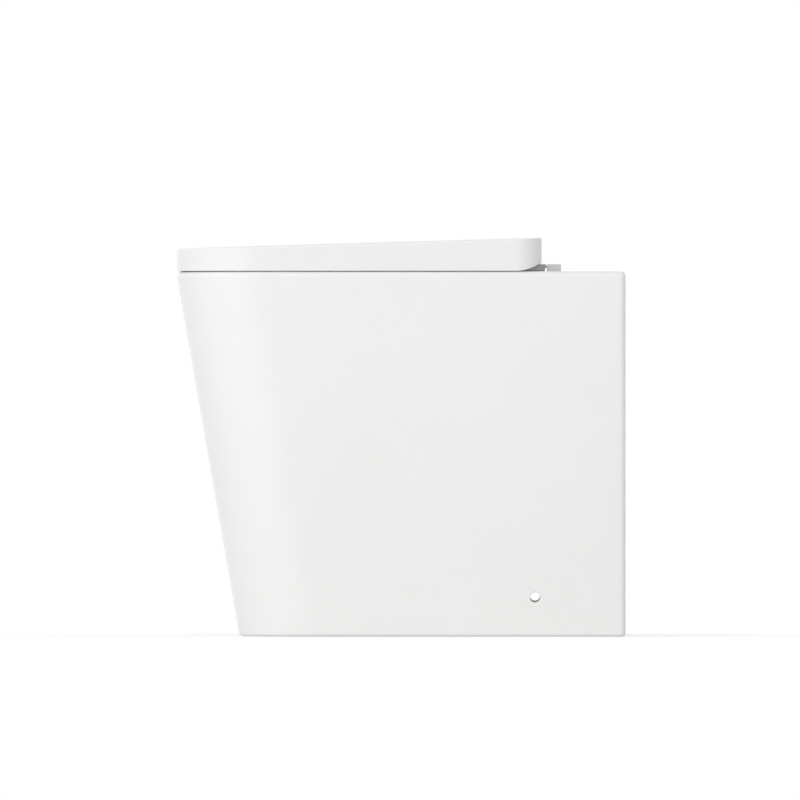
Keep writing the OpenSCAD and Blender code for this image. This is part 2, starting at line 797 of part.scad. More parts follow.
module seat_hollow() {
    difference() {
        loft([seat_level_ring(seat_skin, seat_bottom - slack), seat_ring_at(seat_skin, seat_skin)]);
        loft([
            level(opening_plan(seat_skin + opening_flare), seat_bottom - 2 * slack),
            opening_ring(seat_skin + opening_flare, -slack)
        ]);
        translate([-seat_half, seat_rear_y - rear_block, seat_bottom - 2 * slack])
            cube([2 * seat_half, 2 * rear_block, 2 * lid_rear_height]);
        for (place = buffer_places) {
            translate([place[0] * buffer_x, place[1], seat_bottom - 2 * slack])
                cylinder(d = buffer_d + 6, h = 2 * lid_rear_height);
        }
    }
}

module seat_ring() {
    color(seat_white) difference() {
        union() {
            difference() {
                loft(seat_outer_rings);
                loft(opening_rings);
                seat_hollow();
            }
            for (side = [left, right]) {
                profile(side * seat_lug_inner, side * seat_lug_outer) {
                    translate([axis_y, axis_z]) circle(r = barrel_r);
                    translate([seat_rear_y - lug_root, axis_z - barrel_r])
                        square([axis_y - seat_rear_y + lug_root, 2 * barrel_r - slack]);
                }
            }
        }
        flats(-seat_lug_inner + slack, -seat_lug_outer - slack);
        shaft(seat_lug_inner - slack, seat_lug_outer + slack, shaft_d / 2);
        for (place = buffer_places) {
            translate([place[0] * buffer_x, place[1], seat_bottom - slack])
                cylinder(d = buffer_stem_d, h = buffer_stem_length + slack);
        }
    }
}

module seat_buffer(place) {
    height = seat_gap - buffer_foot;
    color(rubber_grey) translate([place[0] * buffer_x, place[1], pan_height + buffer_foot]) {
        cylinder(d1 = buffer_d - 2, d2 = buffer_d, h = 1);
        translate([0, 0, 1]) cylinder(d = buffer_d, h = height - 1);
        cylinder(d = buffer_stem_d - 0.1, h = height + buffer_stem_length - 0.5);
    }
}

module lid_buffer(place) {
    y = place[1];
    slope = atan((lid_top_at(y + 1) - lid_top_at(y - 1)) / 2);
    color(rubber_grey) translate([place[0] * buffer_x, y, seat_top_at(y) + buffer_foot])
        rotate([slope, 0, 0])
            cylinder(d1 = pad_d - 2, d2 = pad_d, h = seat_lid_gap - buffer_foot - pad_play);
}

// ---- the assembly ----

pan();
hinge_gasket(left);  // hinge_gasket_left
hinge_gasket(right);  // hinge_gasket_right
hinge_post(left);  // hinge_post_left
hinge_post(right);  // hinge_post_right
fixing_sleeve(left);  // fixing_sleeve_left
fixing_sleeve(right);  // fixing_sleeve_right
cone_nut(left);  // cone_nut_left
cone_nut(right);  // cone_nut_right
hinge_body(left);  // hinge_body_left
hinge_body(right);  // hinge_body_right
damper_housing(-body_inner);  // seat_damper_housing
damper_cap(-body_inner);  // seat_damper_cap
damper_seal(-body_inner);  // seat_damper_seal
damper_housing(body_outer);  // lid_damper_housing
damper_cap(body_outer);  // lid_damper_cap
damper_seal(body_outer);  // lid_damper_seal
bush(body_inner, body_inner + bush_length);  // seat_pin_bush
bush(-body_outer, -body_outer + bush_length);  // lid_pin_bush
latch_spring(left);  // latch_spring_left
latch_spring(right);  // latch_spring_right
release_slider(left);  // release_slider_left
release_slider(right);  // release_slider_right
seat_ring();
seat_buffer(buffer_places[0]);  // seat_buffer_front_left
seat_buffer(buffer_places[1]);  // seat_buffer_front_right
seat_buffer(buffer_places[2]);  // seat_buffer_rear_left
seat_buffer(buffer_places[3]);  // seat_buffer_rear_right
damper_shaft(-body_inner);  // seat_damper_shaft
pin(seat_lug_inner, body_inner + bush_length);  // seat_pin
lid_shell();
lid_buffer(buffer_places[0]);  // lid_buffer_front_left
lid_buffer(buffer_places[1]);  // lid_buffer_front_right
lid_buffer(buffer_places[2]);  // lid_buffer_rear_left
lid_buffer(buffer_places[3]);  // lid_buffer_rear_right
damper_shaft(body_outer);  // lid_damper_shaft
pin(-lid_lug_outer, -body_outer + bush_length);  // lid_pin
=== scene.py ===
import math

import bmesh
import bpy
from mathutils import Matrix, Vector, kdtree


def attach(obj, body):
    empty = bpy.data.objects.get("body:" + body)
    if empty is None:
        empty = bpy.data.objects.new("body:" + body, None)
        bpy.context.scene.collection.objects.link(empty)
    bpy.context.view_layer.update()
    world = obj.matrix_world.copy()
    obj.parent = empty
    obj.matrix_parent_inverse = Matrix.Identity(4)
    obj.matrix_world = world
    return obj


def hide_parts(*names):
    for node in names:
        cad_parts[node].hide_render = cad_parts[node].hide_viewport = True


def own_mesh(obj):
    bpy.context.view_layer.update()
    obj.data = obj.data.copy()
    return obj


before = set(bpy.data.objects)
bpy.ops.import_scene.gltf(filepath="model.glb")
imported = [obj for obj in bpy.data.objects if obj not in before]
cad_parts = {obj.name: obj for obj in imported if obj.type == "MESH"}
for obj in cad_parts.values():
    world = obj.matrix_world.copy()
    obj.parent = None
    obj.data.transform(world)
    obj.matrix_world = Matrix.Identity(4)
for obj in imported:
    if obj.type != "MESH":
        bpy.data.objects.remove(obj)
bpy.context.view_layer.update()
print("frame loaded:", len(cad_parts), "nodes")

mm = 0.001  # sizes below are in millimetres, and are laid down in metres
sides = {"left": -1, "right": 1}
nearly = 0.98  # share of the room that two corners may take, so that they never quite meet


class Wire:  # one output of a node, so that sums in a material read as plain sums
    def __init__(self, coat, socket):
        self.coat = coat
        self.socket = socket

    def joined(self, operation, first, second):
        kind = "ShaderNodeVectorMath" if self.socket.type == "VECTOR" else "ShaderNodeMath"
        return self.coat.node(kind, {"operation": operation}, {0: first, 1: second})

    def __add__(self, other):
        return self.joined("ADD", self, other)

    def __radd__(self, other):
        return self.joined("ADD", other, self)

    def __mul__(self, other):
        return self.joined("MULTIPLY", self, other)

    def __rmul__(self, other):
        return self.joined("MULTIPLY", other, self)


class Coat:  # the node tree of a material or of the world
    def __init__(self, owner):
        owner.use_nodes = True
        self.owner = owner
        self.tree = owner.node_tree
        self.tree.nodes.clear()

    def node(self, kind, settings=None, sockets=None, output=0):
        made = self.tree.nodes.new(kind)
        for key, value in (settings or {}).items():
            if key == "stops":
                for element, (place, colour) in zip(made.color_ramp.elements, value):
                    element.position, element.color = place, (*colour, 1.0)
            else:
                setattr(made, key, value)
        for key, value in (sockets or {}).items():
            self.feed(made.inputs[key], value)
        return Wire(self, made.outputs[output]) if made.outputs else made

    def feed(self, socket, value):
        if isinstance(value, Wire):
            self.tree.links.new(value.socket, socket)
        else:
            socket.default_value = (*value, 1.0) if socket.type == "RGBA" else value

    def place(self):
        return self.node("ShaderNodeTexCoord", output="Object")

    def noise(self, scale, detail=2.0, stretch=None):
        where = self.place()
        if stretch:
            where = where * stretch
        return self.node("ShaderNodeTexNoise", {}, {"Vector": where, "Scale": scale, "Detail": detail})

    def between(self, share, first, second):
        return self.node("ShaderNodeMix", {"data_type": "RGBA"}, {0: share, 6: first, 7: second}, 2)

    def tint(self, share, finish):
        return self.between(share, finish["light"], finish["dark"])

    def rough(self, amount, finish):
        return finish["roughness"] + finish["unevenness"] * amount

    def relief(self, height, finish):
        sockets = {"Strength": finish["relief"], "Distance": finish["depth"] * mm, "Height": height}
        return self.node("ShaderNodeBump", {}, sockets, "Normal")

    def surface(self, sockets):
        shader = self.node("ShaderNodeBsdfPrincipled", {}, sockets, "BSDF")
        self.node("ShaderNodeOutputMaterial", {}, {"Surface": shader})
        return self.owner


def newCoat(name):
    return Coat(bpy.data.materials.new(name))


finishColumns = ("light", "dark", "roughness", "unevenness", "relief", "depth")  # depth in millimetres
finishRows = {
    "glaze": ((0.80, 0.80, 0.795), (0.77, 0.77, 0.762), 0.1, 0.07, 0.12, 0.35),
    "bare": ((0.70, 0.69, 0.66), (0.60, 0.585, 0.55), 0.55, 0.3, 0.3, 0.4),
    "resin": ((0.785, 0.785, 0.78), (0.765, 0.765, 0.758), 0.17, 0.07, 0.08, 0.12),
    "plating": ((0.30, 0.30, 0.303), (0.26, 0.26, 0.263), 0.08, 0.08, 0.12, 0.06),
    "satin": ((0.73, 0.73, 0.737), (0.65, 0.65, 0.657), 0.26, 0.2, 0.2, 0.05),
    "stainless": ((0.62, 0.62, 0.61), (0.5, 0.5, 0.5), 0.18, 0.16, 0.2, 0.05),
    "springWire": ((0.5, 0.5, 0.49), (0.36, 0.36, 0.35), 0.28, 0.16, 0.2, 0.05),
    "brass": ((0.78, 0.55, 0.24), (0.6, 0.4, 0.15), 0.24, 0.16, 0.2, 0.05),
    "nylon": ((0.74, 0.73, 0.69), (0.68, 0.67, 0.63), 0.36, 0.2, 0.25, 0.05),
    "rubber": ((0.05, 0.05, 0.052), (0.085, 0.085, 0.085), 0.6, 0.2, 0.25, 0.12),
    "gasket": ((0.3, 0.3, 0.3), (0.24, 0.24, 0.24), 0.55, 0.2, 0.25, 0.1),
    "buffer": ((0.56, 0.56, 0.55), (0.5, 0.5, 0.49), 0.5, 0.2, 0.25, 0.08),
}
finishes = {name: dict(zip(finishColumns, row)) for name, row in finishRows.items()}


def glazedCeramic(finish):
    coat = newCoat("glazedCeramic")
    pooling = coat.noise(scale=5)
    peel = coat.noise(scale=160) + 0.6 * coat.noise(scale=40)
    return coat.surface({
        "Base Color": coat.tint(pooling, finish),
        "Roughness": coat.rough(pooling, finish),
        "IOR": 1.5,
        "Normal": coat.relief(peel, finish),
    })


def bareCeramic(finish):  # inside of the skirt, where the glaze is only a thin overspray
    coat = newCoat("bareCeramic")
    grain = coat.noise(scale=900, detail=4)
    cloud = coat.noise(scale=14, detail=4)
    stops = [(0.35, (0, 0, 0)), (0.65, (1, 1, 1))]
    patch = coat.node("ShaderNodeValToRGB", {"stops": stops}, {"Fac": cloud})
    return coat.surface({
        "Base Color": coat.tint(patch, finish),
        "Roughness": coat.rough(cloud, finish),
        "IOR": 1.45,
        "Normal": coat.relief(grain + 2.0 * coat.noise(scale=70, detail=3), finish),
    })


def seatResin(finish):
    coat = newCoat("seatResin")
    cloud = coat.noise(scale=8)
    fine = coat.noise(scale=1100)
    return coat.surface({
        "Base Color": coat.tint(cloud, finish),
        "Roughness": coat.rough(fine, finish),
        "IOR": 1.52,
        "Normal": coat.relief(fine + 0.5 * coat.noise(scale=90), finish),
    })


def platedHinge(finish):
    coat = newCoat("platedHinge")
    smear = coat.noise(scale=60, detail=3)
    lines = coat.noise(scale=500, detail=3, stretch=(0.05, 1.0, 1.0))
    return coat.surface({
        "Base Color": coat.tint(smear, finish),
        "Metallic": 1.0,
        "Roughness": coat.rough(lines, finish),
        "Normal": coat.relief(lines, finish),
    })


def satinSlider(finish):
    coat = newCoat("satinSlider")
    brushed = coat.noise(scale=1400, detail=3, stretch=(0.03, 1.0, 1.0))
    return coat.surface({
        "Base Color": coat.tint(brushed, finish),
        "Metallic": 1.0,
        "Roughness": coat.rough(brushed, finish),
        "Normal": coat.relief(brushed, finish),
    })


def turnedMetal(name, finish, stretch):
    coat = newCoat(name)
    lines = coat.noise(scale=900, detail=3, stretch=stretch)
    handling = coat.noise(scale=90, detail=3)
    return coat.surface({
        "Base Color": coat.tint(lines * 0.6 + handling * 0.4, finish),
        "Metallic": 1.0,
        "Roughness": coat.rough(handling, finish),
        "Normal": coat.relief(lines, finish),
    })


def mouldedPolymer(name, finish, grainScale):
    coat = newCoat(name)
    grain = coat.noise(scale=grainScale, detail=3)
    cloud = coat.noise(scale=60)
    return coat.surface({
        "Base Color": coat.tint(cloud, finish),
        "Roughness": coat.rough(grain, finish),
        "IOR": 1.5,
        "Normal": coat.relief(grain, finish),
    })


materials = {
    "ceramic": glazedCeramic(finishes["glaze"]),
    "bare": bareCeramic(finishes["bare"]),
    "seat_resin": seatResin(finishes["resin"]),
    "hinge_chrome": platedHinge(finishes["plating"]),
    "slider_satin": satinSlider(finishes["satin"]),
    "stainless": turnedMetal("turnedStainless", finishes["stainless"], (0.2, 0.2, 1.0)),
    "spring_steel": turnedMetal("springWire", finishes["springWire"], (1.0, 1.0, 1.0)),
    "brass": turnedMetal("turnedBrass", finishes["brass"], (0.2, 0.2, 1.0)),
    "nylon": mouldedPolymer("mouldedNylon", finishes["nylon"], 900),
    "rubber": mouldedPolymer("grippyRubber", finishes["rubber"], 1300),
    "gasket": mouldedPolymer("greyGasket", finishes["gasket"], 1300),
    "buffer_grey": mouldedPolymer("bufferRubber", finishes["buffer"], 1100),
}
print("finishes mixed:", len(materials))


def quarter(steps):  # angles of a quarter turn
    return [math.radians(90 * i / steps) for i in range(steps + 1)]


def cornerPoints(cx, cy, r, start, steps):
    return [(cx + r * math.cos(start + a), cy + r * math.sin(start + a)) for a in quarter(steps)]


def outline(front, back, half, frontR, backR, sideSteps, cornerSteps=24):  # seen from above, anticlockwise
    b = min(backR, nearly * half, nearly * (back - front) / 2)
    f = min(frontR, nearly * half, nearly * (back - front) - b)
    side = [front + f + (back - b - front - f) * i / sideSteps for i in range(1, sideSteps)]
    right = math.pi / 2
    return (
        cornerPoints(half - f, front + f, f, -right, cornerSteps) + [(half, y) for y in side]
        + cornerPoints(half - b, back - b, b, 0, cornerSteps)
        + cornerPoints(b - half, back - b, b, right, cornerSteps) + [(-half, y) for y in reversed(side)]
        + cornerPoints(f - half, front + f, f, 2 * right, cornerSteps)
    )


def level(points, z):
    return [(x, y, z) for x, y in points]


def asPiece(name, bm, material):
    bmesh.ops.recalc_face_normals(bm, faces=bm.faces)
    mesh = bpy.data.meshes.new(name)
    bm.to_mesh(mesh)
    bm.free()
    mesh.materials.append(material)
    piece = bpy.data.objects.new(name, mesh)
    bpy.context.scene.collection.objects.link(piece)
    return piece


def loft(name, rings, material):  # closed solid through rings, from the lowest to the highest
    bm = bmesh.new()
    rows = [[bm.verts.new(Vector(point) * mm) for point in ring] for ring in rings]
    count = len(rows[0])
    for low, high in zip(rows, rows[1:]):
        for i in range(count):
            j = (i + 1) % count
            bm.faces.new((low[i], low[j], high[j], high[i]))
    for row, flip in ((rows[0], True), (rows[-1], False)):
        for i in range(count // 2 - 1):
            rung = [row[i], row[i + 1], row[count - 2 - i], row[count - 1 - i]]
            bm.faces.new(rung[::-1] if flip else rung)
    return asPiece(name, bm, material)


def tubeAlong(name, path, r, facets, material):  # path is a straight run of (y, z)
    points = [Vector((0, *p)) for p in path]
    across = Vector((1, 0, 0))
    rings = []
    for i, point in enumerate(points):
        ahead = (points[min(i + 1, len(points) - 1)] - points[max(i - 1, 0)]).normalized()
        up = ahead.cross(across).normalized()
        rings.append([
            point + r * (math.cos(a) * across + math.sin(a) * up)
            for a in (2 * math.pi * (k + 0.5) / facets for k in range(facets))
        ])
    return loft(name, rings, material)


def stepped(start, end, step):  # points along a straight line, about step apart
    start, end = Vector(start), Vector(end)
    count = max(1, math.ceil((end - start).length / step))
    return [tuple(start.lerp(end, i / count)) for i in range(count + 1)]


def ball(name, y, z, radius, facets, material):
    bm = bmesh.new()
    where = Matrix.Translation(Vector((0, y, z)) * mm)
    bmesh.ops.create_uvsphere(
        bm, u_segments=facets, v_segments=facets // 2, radius=radius * mm, matrix=where)
    return asPiece(name, bm, material)


def pulledOut(name, profile, x0, x1, material):  # a closed profile of (y, z), pulled out along X
    bm = bmesh.new()
    ends = [[bm.verts.new((x * mm, y * mm, z * mm)) for y, z in profile] for x in (x0, x1)]
    count = len(profile)
    for i in range(count):
        j = (i + 1) % count
        bm.faces.new((ends[0][i], ends[0][j], ends[1][j], ends[1][i]))
    bm.faces.new(ends[0][::-1])
    bm.faces.new(ends[1])
    return asPiece(name, bm, material)


def block(name, low, high, material):
    profile = [(low[1], low[2]), (high[1], low[2]), (high[1], high[2]), (low[1], high[2])]
    return pulledOut(name, profile, low[0], high[0], material)


def lathe(name, profile, origin, axis, facets, material):  # (radius, height), from pole to pole
    bm = bmesh.new()
    turns = [2 * math.pi * k / facets for k in range(facets)]
    rows = []
    for r, h in profile:
        around = turns if r else [0]
        rows.append([bm.verts.new((r * mm * math.cos(a), r * mm * math.sin(a), h * mm)) for a in around])
    for low, high in zip(rows, rows[1:]):
        for k in range(facets):
            n = (k + 1) % facets
            corners = [low[k % len(low)], low[n % len(low)], high[n % len(high)], high[k % len(high)]]
            corners = list(dict.fromkeys(corners))
            if len(corners) > 2:
                bm.faces.new(corners)
    turn = {
        "X": Matrix.Rotation(math.pi / 2, 4, "Y"),
        "Y": Matrix.Rotation(-math.pi / 2, 4, "X"),
        "Z": Matrix.Identity(4),
    }[axis]
    bm.transform(Matrix.Translation(Vector(origin) * mm) @ turn)
    return asPiece(name, bm, material)


def drill(name, x, y, r, low, high, material, facets=48):  # upright cutter
    return lathe(name, [(0, low), (r, low), (r, high), (0, high)], (x, y, 0), "Z", facets, material)


def settle(piece):  # makes the modifiers' result the piece's own mesh
    graph = bpy.context.evaluated_depsgraph_get()
    shaped = piece.evaluated_get(graph)
    made = bpy.data.meshes.new_from_object(shaped, preserve_all_data_layers=True, depsgraph=graph)
    old = piece.data
    piece.modifiers.clear()
    piece.data = made
    bpy.data.meshes.remove(old)
    made.name = piece.name
    return piece


def cut(piece, *tools, operation="DIFFERENCE"):
    for tool in tools:
        change = piece.modifiers.new("cut", "BOOLEAN")
        change.operation = operation
        change.solver = "MANIFOLD"
        change.material_mode = "TRANSFER"
        change.object = tool
        settle(piece)
        mesh = tool.data
        bpy.data.objects.remove(tool)
        bpy.data.meshes.remove(mesh)
    return piece


def join(piece, *tools):
    return cut(piece, *tools, operation="UNION")


def soften(piece, width, segments=3, angle=40):
    edge = piece.modifiers.new("edges", "BEVEL")
    edge.width = width * mm
    edge.segments = segments
    edge.limit_method = "ANGLE"
    edge.angle_limit = math.radians(angle)
    return settle(piece)


def melt(piece, voxel, rounds):  # runs separate bodies into one soft casting
    skin = piece.modifiers.new("skin", "REMESH")
    skin.mode = "VOXEL"
    skin.voxel_size = voxel * mm
    relax = piece.modifiers.new("relax", "SMOOTH")
    relax.factor = 0.5
    relax.iterations = rounds
    return settle(piece)


def easeCuts(piece, centre, reach, spread, rounds, angle=28):  # rounds sharp edges near a point
    bm = bmesh.new()
    bm.from_mesh(piece.data)
    middle = Vector(centre) * mm
    near = [v for v in bm.verts if (v.co - middle).length < reach * mm]
    limit = math.radians(angle)
    sharp = set()
    for vert in near:
        for edge in vert.link_edges:
            if len(edge.link_faces) == 2 and edge.calc_face_angle(0) > limit:
                sharp.update(edge.verts)
    tree = kdtree.KDTree(len(sharp))
    for i, vert in enumerate(sharp):
        tree.insert(vert.co, i)
    tree.balance()
    share = {}
    for vert in near:
        away = tree.find(vert.co)[2]
        if away < spread * mm:
            share[vert] = 0.6 * (1 - away / (spread * mm))
    for _ in range(rounds):
        moved = {}
        for vert, weight in share.items():
            around = [edge.other_vert(vert).co for edge in vert.link_edges]
            moved[vert] = vert.co.lerp(sum(around, Vector()) / len(around), weight)
        for vert, place in moved.items():
            vert.co = place
    bm.to_mesh(piece.data)
    bm.free()
    return piece


def smoothFaces(piece, angle=30, weighted=True):
    bm = bmesh.new()
    bm.from_mesh(piece.data)
    for face in bm.faces:
        face.smooth = True
    for edge in bm.edges:
        edge.smooth = len(edge.link_faces) != 2 or edge.calc_face_angle(0) < math.radians(angle)
    bm.to_mesh(piece.data)
    bm.free()
    if weighted:
        flat = piece.modifiers.new("normals", "WEIGHTED_NORMAL")
        flat.keep_sharp = True
        flat.weight = 50
        settle(piece)
    return piece


def standsFor(piece, node, body):
    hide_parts(node)
    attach(piece, body)
    return piece


pan = {
    "length": 492, "width": 360, "height": 400, "lean": 9.9, "cornerTop": 95, "cornerBase": 88,
    "rimEdge": 6, "wallEdge": 5.5, "backCorner": 6, "floorEdge": 3.5,
    "skirtWall": 12, "skirtEase": 2.0, "deck": 18,
    "bowlFront": -192, "bowlRear": 88, "bowlHalf": 125, "bowlFrontR": 98, "bowlRearR": 62, "bowlWall": 11,
    "bowlEdge": 6, "bowlEdgeFrom": 0.0185,  # share of the bowl's depth at which its rounded edge begins
    "bowlCurve": [  # share of the depth, share of the way from the sump's size to the bowl's
        (1, 0), (0.93, 0.09), (0.82, 0.22), (0.68, 0.43), (0.52, 0.66), (0.36, 0.84), (0.2, 0.94), (0, 1),
    ],
    "sumpY": -5, "sumpZ": 80, "sumpFloor": 24, "trapBore": 64, "trapWall": 11,
    "trapPath": [(-5, 80), (66, 62), (106, 218), (145.5, 185), (184, 185)],
    "bendSwell": 1.008, "sumpSwell": 1.01,  # balls at the bends stand proud of the facets beside them
    "castVoxel": 3.0, "castRelax": 10, "castEnd": 6,
    "outletY": 184, "outletZ": 185, "outletD": 102, "outletBore": 86, "outletDepth": 18,
    "outletLength": 30, "outletEase": 2, "outletFloor": 4,
    "inletY": 190, "inletZ": 335, "inletBore": 55, "inletWall": 10, "inletDepth": 34,
    "inletEase": 3, "inletFloor": 1.5, "flushShare": 0.36, "flushDepth": 10,
    "flushFlare": [(9, -30), (9, -8), (6, -4.6), (3, -1.6), (1, 1.6), (0, 6)],
    "holeY": 147, "holeZ": 43, "holeD": 11, "holeEase": 1.2, "postHole": 14, "postHoleEase": 0.8,
    "throatMiddle": (0, 30, 92), "throatReach": 62, "throatSpread": 7, "throatRounds": 14,
}
wallY = pan["length"] / 2
frontY = -wallY
panHalf = pan["width"] / 2
rimZ = pan["height"]
hinge = {
    "spacing": 155, "width": 30, "axisY": wallY - 102.5, "axisZ": rimZ + 21, "barrelR": 6.5,
    "lug": 12, "lugGap": 0.5, "boreR": 5, "shaft": 6, "postY": wallY - 104.5,
    "footFront": wallY - 118.5, "footRear": wallY - 86.6, "slant": 1.7,
    "footBottom": rimZ + 0.85, "footTop": rimZ + 8, "edge": 0.3, "headPlay": 0.05, "headRoom": 0.3,
    "barrelFrom": -26, "barrelTurn": 232, "neckRear": 0.92, "neckFront": 11.2, "gusset": 0.6, "chin": 0.9,
    "slotRear": wallY - 66,
}
hingeX = hinge["spacing"] / 2


def drawnIn(z, r, top):  # how far an edge of radius r has turned in at z
    up = max(0, z - top + r)
    return r - math.sqrt(max(0, r * r - up * up))


def frontAt(z):
    r, lean = pan["rimEdge"], math.radians(pan["lean"])
    arcZ = rimZ - r
    leanTop = arcZ - r * math.sin(lean)
    if z < leanTop:
        return frontY + r * (1 - math.cos(lean)) + (leanTop - z) * math.tan(lean)
    return frontY + r - math.sqrt(max(0, r * r - (z - arcZ) ** 2))


def cornerAt(z):
    return pan["cornerBase"] + (pan["cornerTop"] - pan["cornerBase"]) * z / rimZ


def skinRing(z):
    foot = drawnIn(pan["floorEdge"] - z, pan["floorEdge"], pan["floorEdge"])
    side = foot + drawnIn(z, pan["rimEdge"], rimZ)
    back = foot + drawnIn(z, pan["wallEdge"], rimZ)
    corner = max(0.8, pan["backCorner"] - side)
    front, half = frontAt(z) + foot, panHalf - side
    return level(outline(front, wallY - back, half, cornerAt(z) - side, corner, 14), z)


def hollowRing(z, out=0.0):  # runs out through the open back
    up = max(z, 0)
    wall = pan["skirtWall"] - out
    half = panHalf - wall
    return level(outline(frontAt(up) + wall, wallY + 2, half, cornerAt(up) - wall, 1, 14), z)


def throughPoints(points, steps):  # smooth curve through the points
    padded = [points[0]] + points + [points[-1]]
    made = []
    for near in zip(padded, padded[1:], padded[2:], padded[3:]):
        for t in (i / steps for i in range(steps)):
            made.append(tuple(
                q + t * ((r - p) / 2 + t * (p - 2.5 * q + 2 * r - s / 2 + t * (1.5 * (q - r) + (s - p) / 2)))
                for p, q, r, s in zip(*near)
            ))
    return made + [points[-1]]


def bowlRing(drop, share, out):  # from the sump, share 0, to the bowl's full size, share 1
    r = pan["trapBore"] / 2
    sumpOut = nearly * (r + out)
    foot = pan["sumpZ"] - r / 4

    def blend(small, large):
        return small + (large - small) * share

    return level(outline(
        blend(pan["sumpY"] - r, pan["bowlFront"]) - out, blend(pan["sumpY"] + r, pan["bowlRear"]) + out,
        blend(r, pan["bowlHalf"]) + out,
        blend(sumpOut, pan["bowlFrontR"] + out), blend(sumpOut, pan["bowlRearR"] + out), 8,
    ), rimZ + (foot - rimZ) * drop)


def bowlEdgeRing(out, z):
    return [(x, y, z) for x, y, _ in bowlRing(0, 1, out)]


def bowlHollow():
    r, edge = pan["trapBore"] / 2, pan["bowlEdge"]
    foot = pan["sumpZ"] - r / 4
    rings = []
    for a in quarter(12)[1:]:
        size = r * math.sin(a)
        floor = outline(pan["sumpY"] - size, pan["sumpY"] + size, size, nearly * size, nearly * size, 8)
        rings.append(level(floor, foot - pan["sumpFloor"] * math.cos(a)))
    curve = throughPoints(pan["bowlCurve"], 9)
    rings += [bowlRing(drop, share, 0) for drop, share in curve if drop > pan["bowlEdgeFrom"]]
    for a in quarter(10)[:-1]:
        rings.append(bowlEdgeRing(edge * (1 - math.cos(a)), rimZ - edge * (1 - math.sin(a))))
    rings.append(bowlEdgeRing(0.9 * edge, rimZ + 1))
    return loft("bowlHollow", rings, materials["ceramic"])


def trapLengths(radius, prefix, material, step):
    path = pan["trapPath"]
    made = []
    for i, (start, end) in enumerate(zip(path, path[1:])):
        made.append(tubeAlong(f"{prefix}{i}", stepped(start, end, step), radius, 72, material))
    for i, (y, z) in enumerate(path[1:-1]):
        made.append(ball(f"{prefix}Bend{i}", y, z, pan["bendSwell"] * radius, 72, material))
    return made


def backCasting():  # bowl and trap as they are cast, with soft joins, seen from behind
    bare, past = materials["bare"], 120
    curve = throughPoints(pan["bowlCurve"], 4)
    rings = [bowlRing(drop, share, pan["bowlWall"]) for drop, share in curve if drop > 0]
    casting = loft("backCasting", rings + [bowlEdgeRing(pan["bowlWall"], rimZ - pan["rimEdge"])], bare)
    radius = pan["trapBore"] / 2 + pan["trapWall"]
    join(casting, *trapLengths(radius, "trapSkin", bare, 20))
    join(casting, ball("sumpSkin", pan["sumpY"], pan["sumpZ"], pan["sumpSwell"] * radius, 48, bare))
    low = (-past, pan["outletY"] - pan["castEnd"], pan["outletZ"] - past)
    high = (past, pan["outletY"] + past, pan["outletZ"] + past)
    cut(casting, block("trapEnd", low, high, bare))
    return melt(casting, pan["castVoxel"], pan["castRelax"])


def easedEnd(r, top, ease):
    return [(r, top - ease), (r - 0.3 * ease, top - 0.3 * ease), (r - ease, top), (0, top)]


def spigot():
    r, length = pan["outletD"] / 2, pan["outletLength"]
    profile = [(0, 0), (r - 6, 0), (r - 2, 1.2), (r, 4)] + easedEnd(r, length, pan["outletEase"])
    start = (0, pan["outletY"] - length, pan["outletZ"])
    return lathe("spigotSkin", profile, start, "Y", 96, materials["ceramic"])


def inletSocket():
    r = pan["inletBore"] / 2 + pan["inletWall"]
    start = pan["bowlRear"] + 4
    profile = [(0, 0), (r, 0)] + easedEnd(r, pan["inletY"] - start, pan["inletEase"])
    return lathe("socketSkin", profile, (0, start, pan["inletZ"]), "Y", 96, materials["bare"])


def blindBore(r, deep, floorEase):  # its eased mouth is at height 0
    mouth = 2.0
    return [
        (0, -deep), (r - floorEase, -deep), (r, floorEase - deep), (r, -mouth),
        (r + 0.3 * mouth, -0.3 * mouth), (r + mouth, 0.05), (r + mouth, mouth), (0, mouth),
    ]


def throughHole(y, z):  # eased at both faces of the pan's sides
    r, ease = pan["holeD"] / 2, pan["holeEase"]
    near = [(0, -panHalf - 2), (r + 3, -panHalf - 2), (r + ease, -panHalf)]
    near += [(r + ease * (1 - math.sin(a)), ease * (1 - math.cos(a)) - panHalf) for a in quarter(3)[1:]]
    near += [(r, pan["skirtWall"] - panHalf)]
    profile = near + [(radius, -along) for radius, along in reversed(near)]
    return lathe("sideHole", profile, (0, y, z), "X", 40, materials["ceramic"])


def postHole(side):
    r, ease, low, high = pan["postHole"] / 2, pan["postHoleEase"], rimZ - pan["deck"] - 1, rimZ + 1
    profile = [(0, low), (r, low), (r, rimZ - ease), (r + ease, rimZ), (r + ease, high), (0, high)]
    where = (side * hingeX, hinge["postY"], 0)
    return lathe("postHole", profile, where, "Z", 40, materials["ceramic"])


